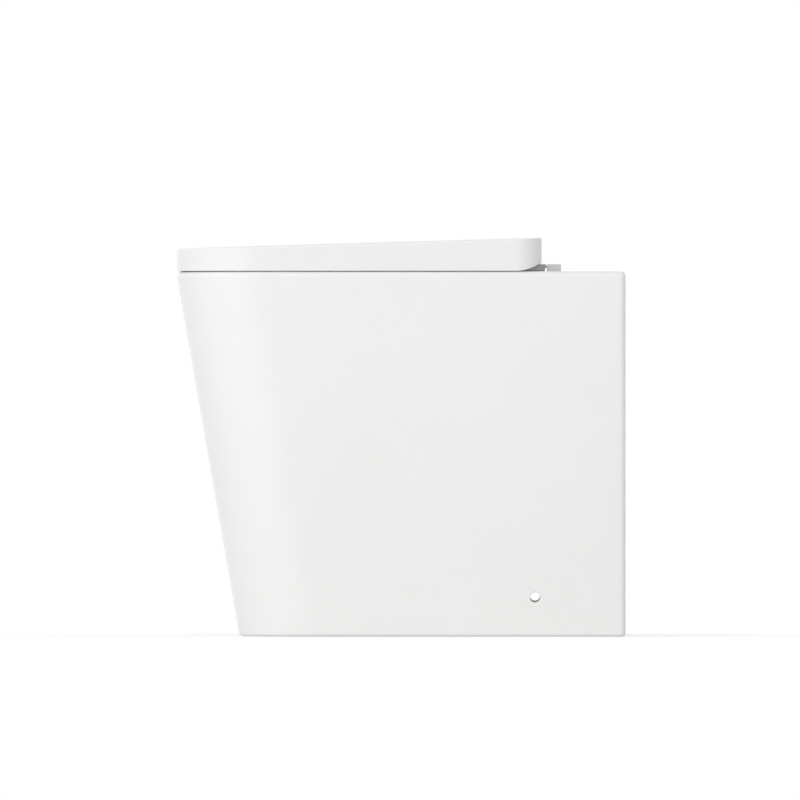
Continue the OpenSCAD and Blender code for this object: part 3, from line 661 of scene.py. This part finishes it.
def makePan():
    ceramic, foot, r = materials["ceramic"], pan["floorEdge"], pan["rimEdge"]
    leanTop = rimZ - r - r * math.sin(math.radians(pan["lean"]))
    heights = [foot * (1 - math.cos(a)) for a in quarter(6)]
    heights += [foot + (leanTop - foot) * i / 16 for i in range(1, 17)]
    heights += [rimZ - r + r * math.sin(a) for a in quarter(15)]
    skin = loft("panCasting", [skinRing(z) for z in heights], ceramic)
    ease = pan["skirtEase"]
    hollow = [hollowRing(-1, ease), hollowRing(0, ease)]
    hollow += [hollowRing(ease * math.sin(a), ease * (1 - math.sin(a))) for a in quarter(3)[1:]]
    cut(skin, loft("skirtHollow", hollow + [hollowRing(rimZ - pan["deck"])], materials["bare"]))
    join(skin, backCasting(), spigot(), inletSocket())
    cut(skin, bowlHollow())
    cut(skin, *trapLengths(pan["trapBore"] / 2, "trapBore", ceramic, 3))
    outlet = blindBore(pan["outletBore"] / 2, pan["outletDepth"], pan["outletFloor"])
    cut(skin, lathe("outletBore", outlet, (0, pan["outletY"], pan["outletZ"]), "Y", 96, ceramic))
    way, end = pan["flushShare"] * pan["inletBore"], pan["inletY"] - pan["bowlRear"] - pan["flushDepth"]
    flush = [(0, pan["flushFlare"][0][1])] + [(way + out, along) for out, along in pan["flushFlare"]]
    flush += [(way, end), (0, end)]
    cut(skin, lathe("flushWay", flush, (0, pan["bowlRear"], pan["inletZ"]), "Y", 72, ceramic))
    inlet = blindBore(pan["inletBore"] / 2, pan["inletDepth"], pan["inletFloor"])
    cut(skin, lathe("inletBore", inlet, (0, pan["inletY"], pan["inletZ"]), "Y", 72, ceramic))
    for side in sides.values():
        cut(skin, postHole(side))
    cut(skin, throughHole(pan["holeY"], pan["holeZ"]))
    easeCuts(skin, pan["throatMiddle"], pan["throatReach"], pan["throatSpread"], pan["throatRounds"])
    return standsFor(smoothFaces(skin), "pan", "pan")


panCasting = makePan()
print("pan cast:", len(panCasting.data.polygons), "faces")


lid = {
    "front": frontY + 0.3, "rear": wallY - 91.7, "half": panHalf - 1, "bottom": rimZ + 0.4,
    "frontHeight": 24.6, "rearHeight": 36.2, "crown": 0.2, "wall": 4.5, "frontR": 94.0, "rearR": 28.0,
    "edge": 3.0, "lip": 0.5, "innerEdge": 2, "liftR": 46.5, "lift": 9.9,
    "notchDepth": 22, "notchPlay": 2, "notchEase": 1.0,
}


def lidTopAt(y):
    t = (y - lid["front"]) / (lid["rear"] - lid["front"])
    rise = (lid["rearHeight"] - lid["frontHeight"]) * t
    return lid["bottom"] + lid["frontHeight"] + rise + 4 * lid["crown"] * t * (1 - t)


def lidRing(inset, rearInset, depth=0, z=None):  # at z, or else at a depth below the sloping top
    rearR = max(2, lid["rearR"] - inset)
    front, rear, half = lid["front"] + inset, lid["rear"] - rearInset, lid["half"] - inset
    points = outline(front, rear, half, lid["frontR"] - inset, rearR, 16)
    return [(x, y, lidTopAt(y) - depth if z is None else z) for x, y in points]


def lipRing(inset, a):
    return lidRing(inset, inset, z=lid["bottom"] + lid["lip"] * (1 - math.cos(a)))


besideHinge = hinge["width"] / 2 + hinge["lugGap"]
lugs = {  # distances from the middle of the pan
    "seatInner": hingeX - besideHinge - hinge["lug"], "seatOuter": hingeX - besideHinge,
    "lidInner": hingeX + besideHinge, "lidOuter": hingeX + besideHinge + hinge["lug"],
    "ease": 0.5, "shaftFlat": 0.75 * hinge["shaft"],
}


def circleProfile(y, z, r, steps=40):
    turns = [2 * math.pi * k / steps for k in range(steps)]
    return [(y + r * math.cos(a), z + r * math.sin(a)) for a in turns]


def shaftBar(name, x0, x1, r, material, flat=None):
    points = circleProfile(hinge["axisY"], hinge["axisZ"], r, 48)
    if flat:
        low, high = hinge["axisZ"] - flat / 2, hinge["axisZ"] + flat / 2
        points = [(y, max(low, min(high, z))) for y, z in points]
    return pulledOut(name, points, x0, x1, material)


def lidShell(resin):
    edge, lip, wall, corner = lid["edge"], lid["lip"], lid["wall"], lid["innerEdge"]
    middle = lid["frontR"] - 4
    rings = [lipRing(lip * (1 - math.sin(a)), a) for a in quarter(4)]
    for a in quarter(10):
        inset = edge * (1 - math.cos(a))
        rings.append(lidRing(inset, inset / 2, edge * (1 - math.sin(a))))
    rings += [lidRing(inset, inset) for inset in (12, 30, 60, middle)]
    inner = [lidRing(wall - lip, wall - lip, z=lid["bottom"] - 1)]
    inner += [lipRing(wall - lip * (1 - math.sin(a)), a) for a in quarter(3)[1:]]
    for a in quarter(5):
        inset = wall + corner * (1 - math.cos(a))
        inner.append(lidRing(inset, inset, wall + corner * (1 - math.sin(a))))
    inner += [lidRing(inset, inset, wall) for inset in (30, 60, middle)]
    return cut(loft("lidMoulding", rings, resin), loft("lidHollow", inner, resin))


def lidLug(side, resin):
    y, z, r, end = hinge["axisY"], hinge["axisZ"], hinge["barrelR"], lid["rear"] - lid["wall"] + 1
    top = lidTopAt(y) - lid["wall"] / 2
    under = [point for point in circleProfile(y, z, r) if point[1] <= z + 0.01]
    under = sorted(under, key=lambda point: math.atan2(point[1] - z - 0.02, point[0] - y))
    profile = under + [(y + r, z + 1), (end, z + 1), (end, top), (y - r, top)]
    lug = pulledOut("lidLug", profile, side * lugs["lidInner"], side * lugs["lidOuter"], resin)
    return soften(lug, lugs["ease"], 2)


def liftCutter(resin):  # the curve by which the lid's lower edge rises to its rear
    r, low = lid["liftR"], lid["bottom"] - 1
    run = math.sqrt(r * r - (r - lid["lift"]) ** 2)
    start, centreZ = lid["rear"] - run, lid["bottom"] + r
    steps = [(run + 1) * i / 24 for i in range(25)]
    curve = [(start + y, centreZ - math.sqrt(r * r - y * y)) for y in steps]
    profile = curve + [(curve[-1][0], low), (start, low)]
    return pulledOut("lift", profile, -lid["half"] - 1, lid["half"] + 1, resin)


def makeLid():
    resin = materials["seat_resin"]
    shell = lidShell(resin)
    axisY, top = hinge["axisY"], hinge["axisZ"] + hinge["barrelR"] + lid["notchPlay"]
    for side in sides.values():
        low, high = sorted((side * (lugs["seatInner"] - 1), side * lugs["lidInner"]))
        near, far = (low, axisY + 1, lid["bottom"] - 1), (high, axisY + lid["notchDepth"], top)
        cut(shell, soften(block("notch", near, far, resin), lid["notchEase"]))
    for side in sides.values():
        join(shell, lidLug(side, resin))
    cut(shell, liftCutter(resin))
    r, inner, outer = hinge["shaft"] / 2, lugs["lidInner"], lugs["lidOuter"]
    cut(shell, shaftBar("pinHole", 1 - outer, 1 - inner, r, resin))
    cut(shell, shaftBar("flatHole", inner - 1, outer + 1, r, resin, lugs["shaftFlat"]))
    return standsFor(smoothFaces(shell), "lid_shell", "lid")


lidMoulding = makeLid()
print("lid moulded:", len(lidMoulding.data.polygons), "faces")


gapRound = lid["wall"] + 2.0  # the seat's edge from the lid's outside
seat = {
    "front": lid["front"] + gapRound, "rear": hinge["footFront"] - 1, "half": lid["half"] - gapRound,
    "bottom": lid["bottom"] + 3, "lidGap": 3.4, "edge": 3.0, "lip": 1.4,
    "ringFront": 60, "ringRear": 50, "ringSide": 58, "frontBend": 0.86, "rearBend": 0.7,
    "flare": 14.0, "drop": 9.0, "skin": 8.0, "skinExtra": 1.5, "rearBlock": 24.0,
    "bufferIn": 26, "bufferFront": 78, "bufferRear": 28, "bufferD": 20.0, "boss": 3,
    "stemD": 7.0, "stem": 6.0, "crownFrom": 58, "crownTurn": 64,
}
bufferX = seat["half"] - seat["bufferIn"]
bufferYs = {"front": seat["front"] + seat["bufferFront"], "rear": seat["rear"] - seat["bufferRear"]}


def seatTopAt(y):
    return lidTopAt(y) - lid["wall"] - seat["lidGap"]


def seatRing(inset, depth=0, z=None):
    corner = gapRound + inset
    front, rear, half = seat["front"] + inset, seat["rear"] - inset, seat["half"] - inset
    points = outline(front, rear, half, lid["frontR"] - corner, lid["rearR"] - corner, 16)
    return [(x, y, seatTopAt(y) - depth if z is None else z) for x, y in points]


def openingRing(out, depth=0, z=None):
    front, rear = seat["front"] + seat["ringFront"] - out, seat["rear"] - seat["ringRear"] + out
    half = seat["half"] - seat["ringSide"]
    frontR, rearR = seat["frontBend"] * half + out, seat["rearBend"] * half + out
    points = outline(front, rear, half + out, frontR, rearR, 12)
    return [(x, y, seatTopAt(y) - depth if z is None else z) for x, y in points]


def seatBody(resin):
    lip, edge, flare, drop, bottom = seat["lip"], seat["edge"], seat["flare"], seat["drop"], seat["bottom"]
    rings = [seatRing(lip * (1 - math.sin(a)), z=bottom + lip * (1 - math.cos(a))) for a in quarter(4)]
    rings += [seatRing(edge * (1 - math.cos(a)), edge * (1 - math.sin(a))) for a in quarter(8)]
    hole = [openingRing(lip, z=bottom - 1)]
    hole += [openingRing(lip * (1 - math.sin(a)), z=bottom + lip * (1 - math.cos(a))) for a in quarter(4)]
    hole += [openingRing(flare * (1 - math.cos(a)), drop * (1 - math.sin(a))) for a in quarter(14)[:-1]]
    hole += [openingRing(flare + 0.5, -1)]
    return cut(loft("seatMoulding", rings, resin), loft("seatOpening", hole, resin))


def seatHollow(resin):  # open below, as it is moulded, with a boss left round each buffer's stem
    skin, low = seat["skin"], seat["bottom"] - 2
    ceiling = skin + seat["skinExtra"]
    rings = [seatRing(skin, z=low + 1), seatRing(skin, ceiling), seatRing(ceiling, skin)]
    hollow = loft("seatHollow", rings, resin)
    out = skin + seat["flare"]
    cut(hollow, loft("seatInside", [openingRing(out, z=low), openingRing(out, -1)], resin))
    near = (-seat["half"], seat["rear"] - seat["rearBlock"], low)
    far = (seat["half"], seat["rear"] + 30, seat["bottom"] + 60)
    cut(hollow, block("seatBack", near, far, resin))
    for side in sides.values():
        for y in bufferYs.values():
            r = seat["bufferD"] / 2 + seat["boss"]
            cut(hollow, drill("boss", side * bufferX, y, r, low, seat["bottom"] + 50, resin))
    return hollow


def seatLug(side, resin):
    y, z, r, end = hinge["axisY"], hinge["axisZ"], hinge["barrelR"], seat["rear"] - 3
    top = z + r - 1
    angles = [math.pi * i / 24 for i in range(25)]
    turn = [(y + r * math.sin(a), z - r * math.cos(a)) for a in angles]
    turn = [point for point in turn if point[1] <= top] + [(y + math.sqrt(r * r - (r - 1) ** 2), top)]
    angles = [math.radians(seat["crownFrom"] + seat["crownTurn"] * i / 12) for i in range(13)]
    crown = [(y + r * math.cos(a), z + r * math.sin(a)) for a in angles]
    crown = [point for point in crown if point[1] > top]
    profile = turn + crown + [(end, top), (end, z - r)]
    lug = pulledOut("seatLug", profile, side * lugs["seatInner"], side * lugs["seatOuter"], resin)
    return soften(lug, lugs["ease"], 2)


def makeSeat():
    resin = materials["seat_resin"]
    ring = cut(seatBody(resin), seatHollow(resin))
    for side in sides.values():
        join(ring, seatLug(side, resin))
    r, inner, outer = hinge["shaft"] / 2, lugs["seatInner"], lugs["seatOuter"]
    cut(ring, shaftBar("flatHole", -outer - 1, 1 - inner, r, resin, lugs["shaftFlat"]))
    cut(ring, shaftBar("pinHole", inner - 1, outer + 1, r, resin))
    low, high = seat["bottom"] - 1, seat["bottom"] + seat["stem"]
    for side in sides.values():
        for y in bufferYs.values():
            cut(ring, drill("stemHole", side * bufferX, y, seat["stemD"] / 2, low, high, resin, 32))
    return standsFor(smoothFaces(ring), "seat_ring", "seat")


seatMoulding = makeSeat()
print("seat moulded:", len(seatMoulding.data.polygons), "faces")


buffer = {
    "foot": rimZ + 0.2, "stemR": 3.45, "stemLength": 5.5, "stemEase": 0.3,
    "padR": 7, "padPlay": 0.25, "padLift": 0.2,
}


def bufferFoot():  # stands on the rim, its stem pressed into the seat
    r, tall = seat["bufferD"] / 2, seat["bottom"] - buffer["foot"]
    stem, ease, top = buffer["stemR"], buffer["stemEase"], tall + buffer["stemLength"]
    sole = [(0, 0.5), (3, 0.45), (5.2, 0.15), (6, 0), (r - 1.6, 0), (r - 0.7, 0.2), (r - 0.2, 0.7), (r, 1.3)]
    return sole + [
        (r, tall - ease), (r - ease, tall), (stem, tall), (stem, top - ease), (stem - 0.45, top), (0, top),
    ]


def bufferPad():  # rests on the seat, fixed to the lid
    r, tall = buffer["padR"], seat["lidGap"] - buffer["padPlay"]
    sole = [(0, 0.5), (2.6, 0.45), (4, 0.1), (4.6, 0), (r - 1.4, 0.05), (r - 0.6, 0.5), (r - 0.2, 1.2)]
    return sole + [(r, tall - 0.3), (r - 0.2, tall), (0, tall)]


def makeBuffers():
    grey = materials["buffer_grey"]
    for sideName, side in sides.items():
        for endName, y in bufferYs.items():
            ending, x = f"{endName}_{sideName}", side * bufferX
            foot = lathe(f"seatBuffer_{ending}", bufferFoot(), (x, y, buffer["foot"]), "Z", 48, grey)
            standsFor(smoothFaces(foot, 35), f"seat_buffer_{ending}", "seat")
            pad = lathe(f"lidBuffer_{ending}", bufferPad(), (0, 0, 0), "Z", 48, grey)
            where = Matrix.Translation(Vector((x, y, seatTopAt(y) + buffer["padLift"])) * mm)
            slope = math.atan((lidTopAt(y + 1) - lidTopAt(y - 1)) / 2)
            pad.data.transform(where @ Matrix.Rotation(slope, 4, "X"))
            standsFor(smoothFaces(pad, 35), f"lid_buffer_{ending}", "lid")


makeBuffers()
print("buffers turned")


slider = {
    "front": hinge["footRear"] + 1, "length": 15.2, "bottom": rimZ + 0.3, "edge": 0.25, "play": 0.2,
    "grooves": 5, "grooveFrom": 4.2, "groovePitch": 1.8, "grooveR": 0.5, "grooveUp": 0.18, "grooveEnd": 4,
    "tongueZ": rimZ + 4.6, "tongue": 1.4, "tongueWidth": 17.0, "tongueFront": hinge["postY"] - 10.6,
    "keyholeY": hinge["postY"] - 4, "neck": 6.4, "keyhole": 9.6,
    "windowHalf": 2.1, "windowFront": hinge["postY"] + 6, "windowRear": hinge["postY"] + 14.55,
}
spring = {
    "front": slider["windowFront"], "rear": hinge["postY"] + 13, "z": slider["tongueZ"] + 0.7,
    "r": 1.5, "wire": 0.22, "turns": 5, "play": 0.2, "pegHalf": 1.8, "peg": 1.5,
}
post = {
    "top": rimZ + 11, "bottom": rimZ - 62, "head": 9.0, "groove": 6.0, "stem": 8.0, "gasket": 0.8,
    "flange": 18.0, "flangeDepth": 1.2, "flangeEase": 0.3,
    "pitch": 1.25, "thread": 0.62, "socket": 2.3, "socketDepth": 3.4,
}
tongueLow, tongueHigh = rimZ, rimZ + 9  # cutters for the tongue start below it and end above it


def hingeProfile():
    y, z, r = hinge["axisY"], hinge["axisZ"], hinge["barrelR"]
    front, rear, bottom, top = hinge["footFront"], hinge["footRear"], hinge["footBottom"], hinge["footTop"]
    neckFront, neckRear = y - hinge["neckFront"], y + hinge["neckRear"] * r
    turns = [math.radians(hinge["barrelFrom"] + hinge["barrelTurn"] * i / 40) for i in range(41)]
    barrel = [(y + r * math.cos(a), z + r * math.sin(a)) for a in turns]
    foot = [(front, bottom), (rear - hinge["slant"], bottom), (rear, top)]
    chin = [(y - hinge["chin"] * r, z - 1), (neckFront, top + hinge["gusset"] * r), (neckFront, top)]
    return foot + [(neckRear, top), (neckRear, top + r / 2)] + barrel + chin + [(front, top)]


def makeHinge(sideName, side):
    chrome = materials["hinge_chrome"]
    centre, half = side * hingeX, hinge["width"] / 2
    body = pulledOut(f"hingeBody_{sideName}", hingeProfile(), centre - half, centre + half, chrome)
    soften(body, hinge["edge"], 3, 35)
    cut(body, shaftBar("damperBore", centre - half - 1, centre + half + 1, hinge["boreR"], chrome))
    play, low = slider["play"], hinge["footBottom"] - 1
    r, top = post["flange"] / 2 + play, hinge["footBottom"] + post["flangeDepth"] + play
    cut(body, drill("flangeRecess", centre, hinge["postY"], r, low, top, chrome))
    r, top = post["head"] / 2 + hinge["headPlay"], post["top"] + hinge["headRoom"]
    cut(body, drill("headHole", centre, hinge["postY"], r, low, top, chrome))
    wide = slider["tongueWidth"] / 2 + play
    near = (centre - wide, slider["tongueFront"] - 2 * play, slider["tongueZ"] - play)
    far = (centre + wide, hinge["slotRear"], slider["tongueZ"] + slider["tongue"] + play)
    slot = block("tongueSlot", near, far, chrome)
    near = (centre - spring["pegHalf"], spring["rear"], tongueLow)
    far = (centre + spring["pegHalf"], spring["rear"] + spring["peg"], tongueHigh)
    cut(body, cut(slot, block("peg", near, far, chrome)))
    r, length = spring["r"] + spring["play"], spring["rear"] - spring["front"]
    where = (centre, spring["front"], spring["z"])
    cut(body, lathe("pocket", [(0, 0), (r, 0), (r, length), (0, length)], where, "Y", 32, chrome))
    return standsFor(smoothFaces(body), f"hinge_body_{sideName}", "hinge_set")


def sliderTongue(centre, satin):
    half, neck = slider["tongueWidth"] / 2, slider["neck"] / 2
    postY, keyY = hinge["postY"], slider["keyholeY"]
    near = (centre - half, slider["tongueFront"], slider["tongueZ"])
    far = (centre + half, slider["front"] + 1, slider["tongueZ"] + slider["tongue"])
    tongue = block("tongue", near, far, satin)
    cut(tongue, drill("keyhole", centre, keyY, slider["keyhole"] / 2, tongueLow, tongueHigh, satin))
    cut(tongue, drill("neckHole", centre, postY, neck, tongueLow, tongueHigh, satin))
    near, far = (centre - neck, keyY, tongueLow), (centre + neck, postY, tongueHigh)
    cut(tongue, block("neckSlot", near, far, satin))
    near = (centre - slider["windowHalf"], slider["windowFront"], tongueLow)
    far = (centre + slider["windowHalf"], slider["windowRear"], tongueHigh)
    return cut(tongue, block("window", near, far, satin))


def makeSlider(sideName, side):
    satin = materials["slider_satin"]
    centre, half = side * hingeX, hinge["width"] / 2
    near = (centre - half, slider["front"], slider["bottom"])
    far = (centre + half, slider["front"] + slider["length"], hinge["footTop"])
    grip = soften(block(f"releaseSlider_{sideName}", near, far, satin), slider["edge"])
    end = half - slider["grooveEnd"]
    for i in range(slider["grooves"]):
        y = slider["front"] + slider["grooveFrom"] + slider["groovePitch"] * i
        groove = circleProfile(y, hinge["footTop"] + slider["grooveUp"], slider["grooveR"], 16)
        cut(grip, pulledOut("gripGroove", groove, centre - end, centre + end, satin))
    join(grip, sliderTongue(centre, satin))
    return standsFor(smoothFaces(grip), f"release_slider_{sideName}", f"slider_{sideName}")


def makeSpring(sideName, side):
    wire, turns, wireFacets = spring["wire"], spring["turns"], 10
    coil, length = spring["r"] - wire, spring["rear"] - spring["front"] - 2 * wire
    steps = 28 * turns
    rings = []
    for k in range(steps + 1):
        a = 2 * math.pi * turns * k / steps
        out = Vector((math.cos(a), 0, math.sin(a)))
        along = spring["front"] + wire + length * k / steps
        middle = Vector((side * hingeX, along, spring["z"])) + coil * out
        rings.append([
            middle + wire * (math.cos(b) * out + Vector((0, math.sin(b), 0)))
            for b in (2 * math.pi * j / wireFacets for j in range(wireFacets))
        ])
    coilPiece = loft(f"latchSpring_{sideName}", rings, materials["spring_steel"])
    smoothFaces(coilPiece, 50, weighted=False)
    standsFor(coilPiece, f"latch_spring_{sideName}", "hinge_set")
    anchor = (0, spring["rear"] * mm, 0)
    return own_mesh(coilPiece)


def postProfile(base):
    head, groove, stem, top = post["head"] / 2, post["groove"] / 2, post["stem"] / 2, post["top"]
    flange, flangeTop, ease = post["flange"] / 2, base + post["flangeDepth"], post["flangeEase"]
    low, high = slider["tongueZ"] - slider["play"], slider["tongueZ"] + slider["tongue"] + slider["play"]
    return [
        (0, base - 1), (stem, base - 1), (stem, base), (flange - ease, base), (flange, base + ease),
        (flange, flangeTop - ease), (flange - ease, flangeTop), (head + 0.2, flangeTop),
        (head, flangeTop + 0.2), (head, low - 0.1), (head - 0.1, low), (groove, low), (groove, high),
        (head - 0.1, high), (head, high + 0.1), (head, top - 1.1), (head - 0.1, top - 0.9),
        (head - 0.9, top - 0.1), (head - 1.1, top), (0, top),
    ]


def postThread(centre, base, steel):  # winds by shifting its phase round the stem
    turns, perPitch, start = 36, 6, post["bottom"]
    rings, z = [], start
    while z < base + 0.01:
        ring = []
        chamfer = 0.5 * (1 - min(1, (z - start) / 1.2))
        for k in range(turns):
            phase = ((z - start) / post["pitch"] - k / turns) % 1
            r = post["stem"] / 2 - 0.02 - post["thread"] * abs(2 * phase - 1) - chamfer
            a = 2 * math.pi * k / turns
            ring.append((centre + r * math.cos(a), hinge["postY"] + r * math.sin(a), z))
        rings.append(ring)
        z += post["pitch"] / perPitch
    return loft("thread", rings, steel)


def makePost(sideName, side):
    steel = materials["stainless"]
    centre, base = side * hingeX, rimZ + post["gasket"]
    made = lathe(f"hingePost_{sideName}", postProfile(base), (centre, hinge["postY"], 0), "Z", 64, steel)
    r, corners = post["socket"], [math.radians(60 * k) for k in range(6)]
    hexagon = [(centre + r * math.cos(a), hinge["postY"] + r * math.sin(a)) for a in corners]
    ends = [level(hexagon, z) for z in (post["top"] - post["socketDepth"], post["top"] + 1)]
    cut(made, loft("hexSocket", ends, steel))
    join(made, postThread(centre, base, steel))
    return standsFor(smoothFaces(made, 38), f"hinge_post_{sideName}", "pan")


for sideName, side in sides.items():
    makeHinge(sideName, side)
    makeSlider(sideName, side)
    makeSpring(sideName, side)
    makePost(sideName, side)
print("hinges, sliders, springs and posts made")


slotFinish = {  # small turned and moulded pieces keep the frame's shape
    "hinge_gasket": "gasket", "fixing_sleeve": "rubber", "cone_nut": "brass", "damper_housing": "nylon",
    "damper_cap": "nylon", "damper_seal": "rubber", "damper_shaft": "stainless", "pin_bush": "nylon",
    "seat_pin": "stainless", "lid_pin": "stainless",
}
for name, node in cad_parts.items():
    if not node.hide_render:
        finish = next((finish for word, finish in slotFinish.items() if word in name), "nylon")
        node.data.materials.clear()
        node.data.materials.append(materials[finish])
print("small pieces finished")


studio = {
    "ambient": 0.46, "floorSize": 5.0, "fadeFrom": 0.2, "fadeTo": 0.5, "floorWhite": 0.75,
    "floorLight": (0.86, 0.86, 0.86), "floorDark": (0.84, 0.84, 0.84), "floorRoughness": 0.8,
    "target": (0, 0, 0.2),
    "lamps": {  # power, size and distance in metres, azimuth (0 is +X, 90 is +Y) and height in degrees
        "sideSoftbox": (157.0, 5.7, 5.4, -53.0, 22.0),
        "frontSoftbox": (121.0, 4.6, 6.0, 8.0, 30.0),
        "backFill": (35.0, 3.0, 3.6, 200.0, 35.0),
    },
}
photo = {  # metres; height is what the frame takes in
    "height": 0.87648, "x": 0.15, "y": -0.001, "z": 0.259, "away": 41.0, "eyeY": 0.12, "eyeZ": 0.27,
}


def seenRays(coat):  # 1 for what the camera sees, straight on or in a mirror
    light = coat.node("ShaderNodeLightPath", output="Is Camera Ray")
    outputs = light.socket.node.outputs
    return light + Wire(coat, outputs["Is Glossy Ray"]) + Wire(coat, outputs["Is Transmission Ray"])


def makeWorld():
    world = bpy.data.worlds.new("studioAir")
    bpy.context.scene.world = world
    coat = Coat(world)
    dim = coat.node("ShaderNodeBackground", {}, {"Color": (1, 1, 1), "Strength": studio["ambient"]})
    white = coat.node("ShaderNodeBackground", {}, {"Color": (1, 1, 1), "Strength": 1.0})
    both = coat.node("ShaderNodeMixShader", {}, {0: seenRays(coat), 1: dim, 2: white})
    coat.node("ShaderNodeOutputWorld", {}, {"Surface": both})


def paleFloor():  # fades to plain white away from the object, and keeps its shadow
    coat = newCoat("paleFloor")
    spot = coat.noise(scale=3)
    where = coat.place() * (1.0, 0.85, 0.0)
    away = coat.node("ShaderNodeVectorMath", {"operation": "LENGTH"}, {0: where}, "Value")
    fade = coat.node("ShaderNodeMapRange", {"interpolation_type": "SMOOTHSTEP"}, {
        "Value": away, "From Min": studio["fadeFrom"], "From Max": studio["fadeTo"],
        "To Min": studio["floorWhite"], "To Max": 1.0,
    })
    matt = coat.node("ShaderNodeBsdfPrincipled", {}, {
        "Base Color": coat.between(spot, studio["floorLight"], studio["floorDark"]),
        "Roughness": studio["floorRoughness"], "Specular IOR Level": 0.2,
    })
    glow = coat.node("ShaderNodeEmission")
    both = coat.node("ShaderNodeMixShader", {}, {0: seenRays(coat) * fade, 1: matt, 2: glow})
    coat.node("ShaderNodeOutputMaterial", {}, {"Surface": both})
    return coat.owner


def makeFloor():
    bm = bmesh.new()
    bmesh.ops.create_circle(bm, cap_ends=True, radius=studio["floorSize"], segments=96)
    floor = asPiece("floor", bm, paleFloor())


def addLamp(name, power, size, distance, azimuth, height):
    a, e = math.radians(azimuth), math.radians(height)
    away = Vector((math.cos(e) * math.cos(a), math.cos(e) * math.sin(a), math.sin(e)))
    light = bpy.data.lights.new(name, "AREA")
    light.energy = power
    light.size = size
    lamp = bpy.data.objects.new(name, light)
    lamp.location = Vector(studio["target"]) + away * distance
    lamp.rotation_euler = away.to_track_quat("Z", "Y").to_euler()
    lamp.visible_camera = False
    lamp.visible_glossy = False  # glaze and chrome show the white room instead
    bpy.context.scene.collection.objects.link(lamp)


def makeCamera():
    camera = bpy.data.cameras.new("photoCamera")
    camera.lens = camera.sensor_width * (photo["away"] - photo["x"]) / photo["height"]
    camera.clip_start, camera.clip_end = 1.0, 80.0
    seen = bpy.data.objects.new("photoCamera", camera)
    eye = Vector((photo["away"], photo["eyeY"], photo["eyeZ"]))
    seen.location = eye
    sight = eye - Vector((photo["x"], photo["y"], photo["z"]))
    seen.rotation_euler = sight.to_track_quat("Z", "Y").to_euler()
    bpy.context.scene.collection.objects.link(seen)
    bpy.context.scene.camera = seen


makeWorld()
makeFloor()
for lampName, facts in studio["lamps"].items():
    addLamp(lampName, *facts)
makeCamera()
bpy.context.scene.view_settings.view_transform = "Standard"
print("studio set")
